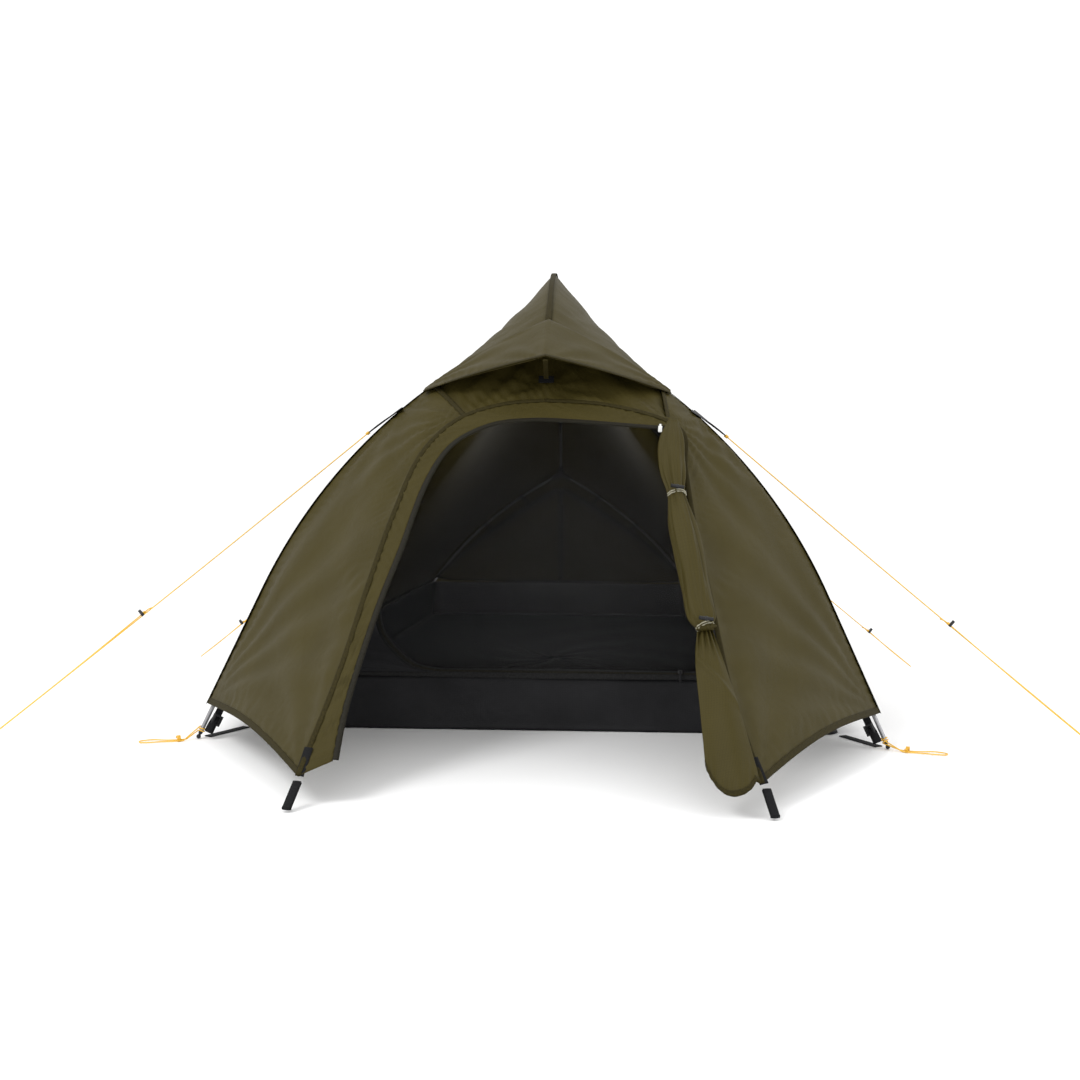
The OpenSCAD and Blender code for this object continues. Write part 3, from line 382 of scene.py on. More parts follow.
LOOKS = {
    "fly_cloth": nylon("fly_cloth", (0.044, 0.0345, 0.0068), (0.050, 0.0395, 0.0086), 0.6),
    "binding": woven("binding", (0.033, 0.026, 0.006), 0.0012),
    "tub_cloth": nylon("tub_cloth", (0.012, 0.012, 0.0135), (0.018, 0.018, 0.020), 0.45),
    "inner_mesh": netting("inner_mesh", (0.004, 0.004, 0.004), 0.3),
    "inner_tape": woven("inner_tape", (0.02, 0.02, 0.02), 0.001),
    "pole_metal": metal("pole_metal", (0.34, 0.34, 0.35), 0.34),
    "ferrule_metal": metal("ferrule_metal", (0.3, 0.3, 0.31), 0.3),
    "hub_plastic": moulded("hub_plastic", (0.05, 0.05, 0.055), 0.45),
    "black_plastic": moulded("black_plastic", (0.012, 0.012, 0.013), 0.42),
    "pull_white": moulded("pull_white", (0.78, 0.78, 0.76), 0.35),
    "webbing": woven("webbing", (0.011, 0.011, 0.012), 0.0014),
    "zip_coil": woven("zip_coil", (0.018, 0.016, 0.01), 0.0012, 0.6),
    "elastic": woven("elastic", (0.42, 0.4, 0.3), 0.0009),
    "shock_cord": braid("shock_cord", (0.02, 0.02, 0.02), (0.3, 0.3, 0.3)),
    "guy_cord": braid("guy_cord", (0.86, 0.50, 0.03), (0.55, 0.27, 0.02)),
    "slider_metal": metal("slider_metal", (0.07, 0.07, 0.07), 0.4),
}


# ---------------- mesh helpers
def grid_faces(rows, cols, ring=False):
    """The faces of a grid of points, closed round its columns when ring is true."""
    return [(i * cols + j, i * cols + (j + 1) % cols, (i + 1) * cols + (j + 1) % cols, (i + 1) * cols + j)
            for i in range(rows - 1) for j in range(cols if ring else cols - 1)]


def run_along(points):
    """Distance along a line at each of its points, from the first."""
    step = np.linalg.norm(np.diff(np.asarray(points), axis=0), axis=1)
    return np.concatenate([[0], np.cumsum(step)])


def length_of(points):
    return float(run_along(points)[-1])


def even_steps(points, count):
    """count points at even steps along a line."""
    points = np.asarray(points)
    run = run_along(points)
    want = np.linspace(0, run[-1], count)
    return np.stack([np.interp(want, run, points[:, k]) for k in range(3)], axis=1)


def closed(line):
    return np.vstack([line, line[:1]])


def tangents(line):
    return [unit(r) for r in np.gradient(np.asarray(line), axis=0)]


def make_mesh(name, verts, faces, mat, uvs=None):
    mesh = bpy.data.meshes.new(name)
    mesh.from_pydata([tuple(map(float, v)) for v in verts], [], faces)
    layer = mesh.uv_layers.new(name="uv")
    if uvs is not None:
        index = np.zeros(len(mesh.loops), dtype=np.int32)
        mesh.loops.foreach_get("vertex_index", index)
        layer.data.foreach_set("uv", np.asarray(uvs, dtype=np.float32)[index].ravel())
    mesh.materials.append(LOOKS[mat])
    mesh.polygons.foreach_set("use_smooth", [True] * len(mesh.polygons))
    piece = bpy.data.objects.new(name, mesh)
    bpy.context.scene.collection.objects.link(piece)
    return piece


def normals(grid):
    du = np.gradient(grid, axis=0)
    dv = np.gradient(grid, axis=1)
    n = np.cross(du, dv)
    return n / np.maximum(np.linalg.norm(n, axis=2, keepdims=True), 1e-9)


def lengths(grid, axis):
    """Distance along one axis of a grid, in metres, from its first edge."""
    step = np.linalg.norm(np.diff(grid, axis=axis), axis=2)
    start = np.zeros_like(np.take(step, [0], axis=axis))
    return np.cumsum(np.concatenate([start, step], axis=axis), axis=axis)


def settle(piece, thick, body, stands_for):
    """Gives a sheet or tape its thickness and its body, and hides the CAD nodes that it stands for."""
    solid = piece.modifiers.new("thickness", "SOLIDIFY")
    solid.thickness = thick
    solid.offset = 0
    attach(piece, body)
    if stands_for:
        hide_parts(*stands_for)


def cloth_from(name, grid, mat, stands_for=(), thick=0.0005):
    """A sheet of cloth from a grid of points, with its thickness and a texture in metres."""
    uvs = np.stack([lengths(grid, 1), lengths(grid, 0)], axis=2).reshape(-1, 2)
    piece = make_mesh(name, grid.reshape(-1, 3), grid_faces(*grid.shape[:2]), mat, uvs)
    settle(piece, thick, TENT, stands_for)
    ring = np.allclose(grid[:, 0], grid[:, -1])
    size = np.mean if ring else np.max
    wide = float(size(lengths(grid, 1)[:, -1])) + 0.001
    long = float(size(lengths(grid, 0)[-1])) + 0.001
    return piece


def strip(name, line, side_dirs, width, lift_dirs, lift, mat, thick=0.0008, body=TENT, stands_for=()):
    """A tape along a line, width across side_dirs, raised along lift_dirs and a little crowned.

    Either may be one direction for the whole line or one for each point.
    """
    n = len(line)
    side_dirs, lift_dirs = np.broadcast_to(side_dirs, (n, 3)), np.broadcast_to(lift_dirs, (n, 3))
    across = [-0.5, -0.25, 0, 0.25, 0.5]
    crown = [0, 0.5, 0.7, 0.5, 0]
    verts = [line[i] + side_dirs[i] * width * a + lift_dirs[i] * (lift + c * thick)
             for i in range(n) for a, c in zip(across, crown)]
    run = run_along(line)
    uvs = [(width * a, run[i]) for i in range(n) for a in across]
    piece = make_mesh(name, verts, grid_faces(n, len(across)), mat, uvs)
    settle(piece, thick, body, stands_for)
    return piece


def tube_mesh(name, line, radius, mat, sides=10, body=TENT):
    """A round tube along points, with parallel-transported rings and capped ends."""
    line = np.asarray(line, dtype=float)
    n = len(line)
    tang = np.gradient(line, axis=0)
    tang /= np.linalg.norm(tang, axis=1, keepdims=True)
    a = unit(np.cross(tang[0], arr(0.3, 0.2, 1)))
    verts = []
    for i in range(n):
        a = unit(a - tang[i] * np.dot(a, tang[i]))
        b = np.cross(tang[i], a)
        r = radius[i] if np.ndim(radius) else radius
        verts += [line[i] + r * (a * math.cos(w) + b * math.sin(w))
                  for w in np.linspace(0, 2 * math.pi, sides, endpoint=False)]
    faces = grid_faces(n, sides, ring=True)
    faces += [tuple(range(sides))[::-1], tuple((n - 1) * sides + k for k in range(sides))]
    piece = make_mesh(name, verts, faces, mat, np.zeros((len(verts), 2)))
    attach(piece, body)
    return piece


def cord_curve(name, points, radius, mat):
    """A round cord along points, riding on the tent."""
    curve = bpy.data.curves.new(name, "CURVE")
    curve.dimensions = "3D"
    curve.bevel_depth = radius
    curve.bevel_resolution = 3
    curve.use_fill_caps = True
    route = curve.splines.new("POLY")
    route.points.add(len(points) - 1)
    for knot, p in zip(route.points, points):
        knot.co = (*map(float, p), 1)
    curve.materials.append(LOOKS[mat])
    piece = bpy.data.objects.new(name, curve)
    bpy.context.scene.collection.objects.link(piece)
    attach(piece, TENT)
    return piece


# ---------------- folds and slack in stretched cloth
# Taut cloth shows its pull folds at this share of the height given for slack cloth
FOLD_SHARE = 0.35


def pull_folds(grid, pulls, edges=(1, 1, 1, 1)):
    """Moves a grid along its normals into folds that fan out from the points that pull on it.

    pulls holds (point, reach, height, folds per turn, phase), and edges says which of the first row,
    last row, first column and last column stay where they are.
    """
    n = normals(grid)
    centre = grid.reshape(-1, 3).mean(axis=0)
    main = unit(n.reshape(-1, 3).mean(axis=0))
    ex = unit(np.cross(main, arr(0, 0.1, 1)))
    ey = np.cross(main, ex)
    rows, cols = grid.shape[:2]
    u = np.linspace(0, 1, rows)[:, None]
    v = np.linspace(0, 1, cols)[None, :]
    free = np.ones((rows, cols))
    for fixed, share in zip(edges, (u, 1 - u, v, 1 - v)):
        if fixed:
            free = free * smooth(0, 0.07, share * np.ones((rows, cols)))
    move = np.zeros((rows, cols))
    for point, reach, height, folds, phase in pulls:
        d = grid - point
        r = np.linalg.norm(d, axis=2)
        turn = np.arctan2(d @ ey, d @ ex)
        fan = np.sin(folds * turn + phase + 1.3 * np.sin(2.1 * turn + phase))
        fan = np.sign(fan) * np.abs(fan) ** 0.8
        move += height * fan * (r / reach) * np.exp(1 - r / reach)
    wander = np.sin(9.1 * (grid[..., 0] + 0.7 * grid[..., 2]) + 1.7 * centre[0]) \
        * np.sin(7.3 * (grid[..., 1] - 0.4 * grid[..., 2]) + 0.6)
    move = FOLD_SHARE * move + 0.0008 * wander
    return grid + n * (move * free)[..., None]


def pucker(grid, axis, first, height=0.0011, pitch=0.021, reach=0.03):
    """Small gathers across a sewn edge: axis 0 is the first or last row, 1 the first or last column."""
    n = normals(grid)
    along = lengths(grid, 1 - axis)
    away = lengths(grid, axis)
    if not first:
        away = np.take(away, [-1], axis=axis) - away
    wave = np.sin(2 * math.pi * along / pitch + 1.9 * np.sin(along * 31.0) + 0.8 * np.sin(along * 77.0))
    size = height * (away / reach) * np.exp(1 - away / reach)
    return grid + n * (wave * size)[..., None]


def make_grid(rows, cols, point, s_from=0.0, s_to=1.0, t_from=0.0, t_to=1.0):
    return np.array([[point(s, t) for t in np.linspace(t_from, t_to, cols)]
                     for s in np.linspace(s_from, s_to, rows)])


# ---------------- fly sheet
# The ridge's lift dies away down the sides as this power
LIFT_POWER = 2.8


def fly_side(side, s, t):
    front, rear = fly_front(side, s), fly_rear(side, s)
    top = ridge_lift(t, FLY_GAP)
    hem = arr(-side * 0.014, 0, 0.014) * math.sin(math.pi * t)
    return mix(front, rear, t) + (1 - s) ** LIFT_POWER * top + s * s * hem


# How far the rear panel's hem stands out behind a straight line between its corners
REAR_BULGE = 0.110


def rear_point(s, t):
    bulge = arr(0, s * REAR_BULGE, -0.008 * s)
    return mix(fly_rear(1, s), fly_rear(-1, s), t) + bulge * math.sin(math.pi * t)


def front_point(side, s, t):
    """s from the hem to the hub, t from the front leg to the seam round the doorway."""
    leg = fly_front(side, 1 - s)
    step = FRONT_STAND_OFF * (1 - (1 - t) ** 6) * (1 - t)
    hem = arr(0, 0, 0.022) * math.sin(math.pi * t)
    return mix(leg, seam_at(side, s), t) - arr(0, step, 0) + hem * (1 - s) ** 2


# How far up the front panels the seam below the vent runs, as a share of the way to the hub
BROW_SHARE = 0.745


def make_fly_sides():
    for side, name in SIDES:
        grid = make_grid(70, 110, lambda s, t: fly_side(side, s, t))
        pulls = [
            (fly_front(side, 1), 0.34, 0.0065, 17, 0.4 + side), (fly_rear(side, 1), 0.30, 0.006, 15, 1.1),
            (fly_front(side, 0), 0.26, 0.006, 15, 2.0), (fly_rear(side, 0), 0.22, 0.005, 13, 0.7 * side),
            (arr(side * 0.402, 0.137, 0.455), 0.16, 0.0055, 11, 0.3),
            (front_leg(side, GUY_PULL, FLY_GAP), 0.15, 0.004, 13, 1.4),
        ]
        grid = pull_folds(grid, pulls)
        grid = pucker(grid, 0, True)
        grid = pucker(grid, 0, False, 0.0014, 0.026, 0.025)
        grid = pucker(grid, 1, True)
        cloth_from(f"fly_{name}_cloth", grid, "fly_cloth", [f"fly_{name}_panel"])


def make_fly_rear():
    grid = make_grid(56, 60, rear_point, 0.0, 1.0)
    pulls = [(fly_rear(1, 1), 0.24, 0.006, 15, 0.2), (fly_rear(-1, 1), 0.24, 0.006, 15, 1.2),
             (rear_point(0, 0.5), 0.2, 0.005, 13, 0.5), (rear_point(1, 0.5), 0.16, 0.005, 13, 0.9)]
    grid = pucker(pull_folds(grid, pulls), 0, False, 0.0014, 0.026, 0.025)
    cloth_from("fly_rear_cloth", grid, "fly_cloth", ["fly_rear_panel"])


def make_front_panels():
    for side, name in SIDES:
        grid = make_grid(84, 46, lambda s, t: front_point(side, s, t), 0, BROW_SHARE)
        corner = seam_at(side, 0)
        pulls = [(corner, 0.30, 0.0085, 17, 0.9 + 0.5 * side), (fly_front(side, 1), 0.30, 0.008, 17, 0.3),
                 (front_leg(side, GUY_PULL, FLY_GAP), 0.16, 0.005, 15, 1.1),
                 (seam_at(side, BROW_SHARE), 0.13, 0.005, 13, 2.2)]
        grid = pull_folds(grid, pulls)
        grid = pucker(grid, 1, True, 0.0012, 0.02)
        grid = pucker(grid, 1, False, 0.0016, 0.022, 0.035)
        grid = pucker(grid, 0, True, 0.0014, 0.024, 0.02)
        cloth_from(f"vestibule_{name}_cloth", grid, "fly_cloth", [f"vestibule_{name}_panel"])


def make_brow():
    left = make_grid(34, 30, lambda s, t: front_point(-1, s, t), BROW_SHARE, 1)
    right = make_grid(34, 30, lambda s, t: front_point(1, s, t), BROW_SHARE, 1)[::-1][1:]
    grid = np.concatenate([left, right])
    sag = np.sin(np.pi * np.linspace(0, 1, grid.shape[1]))[None, :, None]
    grid = grid + sag * arr(0, 0.006, -0.006)
    pulls = [(seam_at(-1, BROW_SHARE), 0.12, 0.006, 15, 0.4), (seam_at(1, BROW_SHARE), 0.12, 0.006, 15, 1.4),
             (arr(0, -0.663, 0.875), 0.14, 0.006, 19, 0.2), (arr(0, -0.79, 0.74), 0.07, 0.004, 9, 0.0)]
    grid = pucker(pull_folds(grid, pulls), 1, False, 0.0018, 0.02, 0.03)
    cloth_from("fly_brow_cloth", grid, "fly_cloth", ["fly_brow_panel"])


def opening_at(s):
    return door_point(spline(OPENING, s))


# The outer edge that the band runs out to, matched to the opening's edge from the hem to the zip's end
BAND_OUTER = [(-395, 50), (-356, 180), (-318, 355), (-288, 478), (-253, 582), (-190, 654), (-98, 690),
              (0, 699), (84, 694), (178, 686), (272, 662)]


def make_band():
    grid = make_grid(150, 10, lambda s, t: mix(door_point(spline(BAND_OUTER, s)), opening_at(s), t))
    grid = pull_folds(grid, [(opening_at(0), 0.1, 0.002, 9, 0.3)])
    grid = pucker(grid, 1, True, 0.0016, 0.022, 0.02)
    grid = pucker(grid, 1, False, 0.0012, 0.018, 0.015)
    cloth_from("door_band_cloth", grid, "fly_cloth", ["door_band"])


# How far down the front leg the hood reaches
HOOD_LOW = 0.300


def hood_leg(side, s):
    return front_leg(side, mix(HOOD_LOW, leg_top(FLY_GAP + 0.008), s), FLY_GAP + 0.006)


HOOD_PEAK = arr(0, FRONT_Y + 0.078, 0.790)


def hood_edge(side, s):
    a = hood_leg(side, 0) + arr(0, -0.03, -0.008)
    return mix(a, HOOD_PEAK, s) + arr(0, -0.010, 0.004) * math.sin(math.pi * s)


def hood_point(side, s, t):
    return mix(hood_leg(side, s), hood_edge(side, s), t)


def make_hood():
    left = make_grid(44, 24, lambda s, t: hood_point(-1, s, t))
    right = make_grid(44, 24, lambda s, t: hood_point(1, s, t))[::-1][1:]
    grid = np.concatenate([left, right])
    pulls = [(HOOD_PEAK, 0.11, 0.005, 13, 0.3), (hood_leg(-1, 0), 0.1, 0.004, 11, 0.5),
             (hood_leg(1, 0), 0.1, 0.004, 11, 1.5)]
    grid = pull_folds(grid, pulls, (1, 1, 1, 0))
    grid = pucker(grid, 1, False, 0.0012, 0.02, 0.02)
    cloth_from("vent_hood_cloth", grid, "fly_cloth", ["vent_hood"])
    steps = [(-1, s) for s in np.linspace(0, 1, 50)] + [(1, s) for s in np.linspace(1, 0, 50)[1:]]
    edge = [hood_edge(side, s) for side, s in steps]
    into = [unit(hood_leg(side, s) - hood_edge(side, s)) for side, s in steps]
    up = [unit(np.cross(i, r)) for i, r in zip(into, tangents(edge))]
    up = [u if u[2] > 0 else -u for u in up]
    line = [e + i * 0.005 for e, i in zip(edge, into)]
    strip("vent_hood_binding", line, into, 0.012, up, 0.0006, "binding")


def make_rear_vent():
    def point(s, t):
        half = 0.11 * s + 0.01
        base = rear_point(mix(0.36, 0.5, s), 0.5 + half * (2 * t - 1))
        return base + arr(0, 0.86, 0.5) * (0.003 + 0.026 * math.sin(math.pi * t) * s)
    grid = make_grid(20, 30, point)
    cloth_from("rear_vent_cloth", pucker(grid, 0, False, 0.001, 0.02, 0.02), "fly_cloth", ["rear_vent_hood"])


# How far binding at an edge and tape over a seam stand off the cloth
TAPE_LIFT, SEAM_LIFT = 0.0016, 0.0012
ACROSS = arr(1, 0, 0)


def edge_tape(name, line, toward, width):
    """Binding folded over a cloth edge: toward holds a direction into the cloth at each point."""
    ups = [unit(np.cross(t, r)) for t, r in zip(toward, tangents(line))]
    for sign, tag in ((1, "outer"), (-1, "inner")):
        strip(f"{name}_{tag}", [p + t * width / 2 for p, t in zip(line, toward)], toward, width,
              [u * sign for u in ups], TAPE_LIFT, "binding", 0.0006)


def make_bindings():
    ss = np.linspace(0, 1, 90)
    for side, name in SIDES:
        hem = [fly_side(side, 1, t) for t in ss]
        into = [unit(fly_side(side, 0.97, t) - fly_side(side, 1, t)) for t in ss]
        edge_tape(f"hem_tape_{name}", hem, into, 0.012)
        low = [front_point(side, 0, t) for t in ss]
        into = [unit(front_point(side, 0.03, t) - front_point(side, 0, t)) for t in ss]
        edge_tape(f"front_hem_tape_{name}", low, into, 0.013)
        leg = [fly_front(side, s) for s in ss]
        across = [unit(fly_side(side, s, 0.02) - fly_side(side, s, 0)) for s in ss]
        out = [unit(front_leg(side, mix(leg_top(FLY_GAP), HEM_FRONT, s), 0.1) - p) for s, p in zip(ss, leg)]
        strip(f"leg_seam_{name}", leg, across, 0.013, out, 0.001, "binding")
        back = [fly_rear(side, s) for s in ss]
        across = [unit(fly_side(side, s, 0.98) - fly_side(side, s, 1)) for s in ss]
        out = [unit(rear_leg(side, mix(rear_top(FLY_GAP), HEM_REAR, s), 0.1) - p + arr(0, 0.06, 0))
               for s, p in zip(ss, back)]
        strip(f"rear_seam_{name}", back, across, 0.012, out, SEAM_LIFT, "binding")
        brow = [front_point(side, BROW_SHARE, t) for t in ss]
        down = [unit(front_point(side, BROW_SHARE - 0.02, t) - p) for t, p in zip(ss, brow)]
        lift = [unit(np.cross(r, d)) for r, d in zip(tangents(brow), down)]
        lift = [v if v[1] < 0 else -v for v in lift]
        strip(f"brow_seam_{name}", brow, down, 0.010, lift, SEAM_LIFT, "binding")
        seam = [seam_at(side, s) for s in ss]
        across = [unit(np.cross(DOOR_NORMAL, r)) for r in tangents(seam)]
        strip(f"door_seam_{name}", seam, across, 0.009, DOOR_NORMAL, SEAM_LIFT, "binding")
    top = [ridge_lift(t, FLY_GAP) + mix(fly_front(1, 0), fly_rear(1, 0), t) for t in ss]
    ups = [unit(np.cross(ACROSS, r)) for r in tangents(top)]
    strip("ridge_seam", top, ACROSS, 0.012, ups, SEAM_LIFT, "binding")
    rear = [rear_point(1, t) for t in ss]
    edge_tape("rear_hem_tape", rear, [unit(rear_point(0.97, t) - rear_point(1, t)) for t in ss], 0.012)


# ---------------- door
ROLL_LINE = [(262, 636), (258, 560), (266, 475), (284, 370), (296, 290), (306, 262)]
ROLL_LIFT = 0.0216
ROLL_WIDE, ROLL_DEEP = 0.026, 0.0185
UPPER_PINCH, LOWER_PINCH = 0.36, 0.95


def roll_point(s):
    return door_point(spline(ROLL_LINE, s)) + arr(0, -ROLL_LIFT, ROLL_LIFT)


def roll_run(s):
    """The direction that the roll runs in."""
    return unit(roll_point(min(s + 0.01, 1)) - roll_point(max(s - 0.01, 0)))


def plump(s):
    """The roll's thickness as a share of its fullest, pinched at each toggle and small at its top."""
    return (1 - 0.38 * math.exp(-((s - UPPER_PINCH) / 0.07) ** 2)
            - 0.42 * math.exp(-((s - LOWER_PINCH) / 0.08) ** 2) - 0.58 * math.exp(-(s / 0.09) ** 2))


def make_rolled_door():
    """The rolled cloth: a coiled section with soft lengthwise folds that gather at each toggle."""
    rows, cols = 150, 96
    verts = []
    for s in np.linspace(0, 1, rows):
        centre = roll_point(s)
        across = unit(np.cross(roll_run(s), DOOR_NORMAL))
        tight = math.exp(-((s - UPPER_PINCH) / 0.09) ** 2) + math.exp(-((s - LOWER_PINCH) / 0.09) ** 2)
        for j in range(cols):
            w = 2 * math.pi * j / cols
            fold = (0.09 * math.sin(3 * w + 5.5 * s + 0.6) + 0.06 * math.sin(5 * w - 8 * s + 2)
                    + 0.12 * tight * math.sin(9 * w + 1.5 * math.sin(6 * s))
                    + 0.03 * math.sin(11 * w + 21 * s + 2 * math.sin(3 * w)))
            lip = -0.10 * math.exp(-((math.sin((w - 2.3 - 0.5 * s) / 2)) / 0.06) ** 2)
            size = plump(s) * (1 + fold + lip + 0.03 * math.sin(17 * s + 2 * w))
            verts.append(centre + across * ROLL_WIDE * size * math.cos(w)
                         + DOOR_NORMAL * ROLL_DEEP * size * math.sin(w))
    faces = grid_faces(rows, cols, ring=True)
    top, low = rows * cols, (rows - 1) * cols
    verts += [mix(roll_point(0), roll_point(0.03), 0.25), roll_point(1)]
    faces += [((j + 1) % cols, j, top) for j in range(cols)]
    faces += [(low + j, low + (j + 1) % cols, top + 1) for j in range(cols)]
    around = np.array([[0.14 * j / cols, 0.45 * i / rows] for i in range(rows) for j in range(cols)])
    uvs = np.concatenate([around, np.zeros((2, 2))])
    piece = make_mesh("rolled_door_cloth", verts, faces, "fly_cloth", uvs)
    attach(piece, TENT)
    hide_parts("rolled_door")


def skirt_point(s, t):
    """The loose foot of the door: full and rounded, its far side lying along the seam."""
    left = spline([(290, 264), (284, 215), (288, 140), (292, 66)], s)
    right = spline([(318, 264), (338, 205), (362, 125), (383, 44)], s)
    low = -34 * smooth(0.45, 1.0, s) * math.sin(math.pi * min(t * 1.1, 1)) ** 0.7
    p = mix(left, right, t) + arr(0, low)
    full = 0.009 * math.sin(math.pi * t) * math.sin(math.pi * min(1, 0.12 + 0.8 * s))
    crease = 0.0035 * math.sin(7.5 * t + 2.6 * s + 0.5) * s
    crease += 0.003 * math.exp(-((s - 0.3 - 0.25 * t) / 0.035) ** 2)
    gather = 0.0022 * math.sin(26 * t + 0.6 * math.sin(9 * t)) * (1 - smooth(0.05, 0.4, s))
    return door_point(p) + arr(0, -1, 1) * (0.014 + full + crease + gather)


def make_skirt():
    grid = make_grid(80, 70, skirt_point)
    grid = pucker(grid, 0, False, 0.0008, 0.018, 0.012)
    cloth_from("door_skirt_cloth", grid, "fly_cloth", ["door_skirt"])
    edge_tape("skirt_tape", grid[-1], [unit(v) for v in grid[-4] - grid[-1]], 0.010)


ZIP_R, ZIP_PITCH = 0.0011, 0.0013


def make_zip():
    """Tape and coil along the doorway's edge."""
    ss = np.linspace(0.003, 0.997, 240)
    edge = [opening_at(s) for s in ss]
    inward = [unit(np.cross(r, DOOR_NORMAL)) for r in tangents(edge)]
    mid = [p + i * 0.0045 for p, i in zip(edge, inward)]
    strip("fly_zip_tape", mid, inward, 0.011, DOOR_NORMAL, 0.0004, "zip_coil", 0.0007,
          stands_for=["fly_zip"])
    coil = [p + i * 0.0032 + DOOR_NORMAL * 0.0014 for p, i in zip(mid, inward)]
    count = int(length_of(coil) / ZIP_PITCH)
    teeth = [ZIP_R * (1 + 0.28 * (-1) ** k) for k in range(count)]
    tube_mesh("fly_zip_coil", even_steps(coil, count), teeth, "zip_coil", 6)


# ---------------- inner tent
TUB_FRONT, TUB_REAR = FRONT_Y + 0.135, FRONT_Y + 2.160
TUB_H, FLOOR_FRONT, FLOOR_REAR = 0.115, 0.630, 0.440
WALL_Z = TUB_H + 0.003
FRONT_TOP = HUB_F + arr(0.022, -INNER_GAP)
REAR_TOP = HUB_R + arr(-0.008, -INNER_GAP)
FRONT_RUN = (FRONT_TOP[0] - TUB_FRONT) / (FRONT_TOP[1] - WALL_Z)
REAR_RUN = (REAR_TOP[0] - TUB_REAR) / (REAR_TOP[1] - WALL_Z)
INNER_FRONT_END = LEG_ARC + LEG_STRAIGHT - 0.100
INNER_REAR_END = REAR_ARC - 0.105


def inner_edge(side, s, leg, top, low, half_floor, foot_y, run):
    """A wall's edge: it hangs along the pole at the top and comes to the tray's corner at the foot."""
    end = leg(side, low, -INNER_GAP)
    p = leg(side, mix(top, low, s), -INNER_GAP)
    x = p[0] + (side * half_floor - end[0]) * s * s
    z = p[2] + (WALL_Z - end[2]) * s * s
    return arr(x, foot_y + (z - WALL_Z) * run, z)


def inner_front(side, s):
    top = leg_top(-INNER_GAP)
    return inner_edge(side, s, front_leg, top, INNER_FRONT_END, FLOOR_FRONT, TUB_FRONT, FRONT_RUN)


def inner_rear(side, s):
    top = rear_top(-INNER_GAP)
    return inner_edge(side, s, rear_leg, top, INNER_REAR_END, FLOOR_REAR, TUB_REAR, REAR_RUN)


def inner_side(side, s, t):
    edges = mix(inner_front(side, s), inner_rear(side, s), t)
    return edges + (1 - s) ** LIFT_POWER * ridge_lift(t, -INNER_GAP)


def make_inner_walls():
    for side, name in SIDES:
        grid = make_grid(44, 70, lambda s, t: inner_side(side, s, t))
        pulls = [(ridge(f, -INNER_GAP), 0.12, 0.004, 11, f * 9) for f in (0.14, 0.3, 0.5, 0.7, 0.88)]
        pulls.append((inner_front(side, 1), 0.25, 0.005, 13, 0.4))
        cloth_from(f"inner_{name}_netting", pull_folds(grid, pulls), "inner_mesh", [f"inner_{name}_wall"])


def wall_outline(rear, count):
    """The end wall's outline, from its lower right corner over the top to the lower left and back."""
    edge = inner_rear if rear else inner_front
    ss = np.linspace(1, 0.03, count)
    line = [edge(1, s) for s in ss] + [edge(-1, s) for s in ss[::-1]]
    low, high = line[-1], line[0]
    line += [mix(low, high, f) for f in np.linspace(0, 1, count)[1:-1]]
    return np.array(line)


# The inner door's outline over its top, as (x, z) in millimetres, and the height of the zip along its foot
DOOR_OUTLINE = [(-300, 152), (-346, 205), (-358, 280), (-350, 410), (-300, 560), (-190, 680), (0, 735),
                (190, 680), (300, 560), (350, 410), (358, 280), (350, 200)]
ZIP_Z = 126
# Fans of cloth close to this share of their size round their middle
FAN_HOLE = 0.0005
# The front wall is solid cloth up to this height, and netting above it
SOLID_TOP = 0.330


def front_wall_point(p):
    """The point of the front wall at (x, z) in millimetres."""
    z = p[1] * MM
    return arr(p[0] * MM, TUB_FRONT + (z - WALL_Z) * FRONT_RUN, z)


def by_angle(line, count, middle):
    """The points where rays from middle, at even turns, meet a closed line in a wall near the XZ plane."""
    full = 2 * math.pi
    loop = even_steps(closed(line), 1201)[:-1]
    turn = np.arctan2(loop[:, 2] - middle[2], loop[:, 0] - middle[0]) % full
    order = np.argsort(turn)
    want = np.linspace(0, full, count, endpoint=False)
    return np.stack([np.interp(want, turn[order], loop[order, k], period=full) for k in range(3)], axis=1)


def door_loop():
    line = [spline(DOOR_OUTLINE, i / 80) for i in range(81)]
    line += [(345, ZIP_Z), (100, ZIP_Z), (-225, ZIP_Z), (-270, 134)]
    return np.array([front_wall_point(p) for p in line])


def ring_grid(outer, inner, rows):
    """Rings of points from an outer closed line in to an inner one."""
    grid = np.array([mix(outer, inner, s) for s in np.linspace(0, 1, rows)])
    return np.concatenate([grid, grid[:, :1]], axis=1)


def inner_tape(name, line, across, width, lift_dir, lift=0.0006, thick=0.0007, stands_for=()):
    strip(name, line, across, width, lift_dir, lift, "inner_tape", thick, stands_for=stands_for)


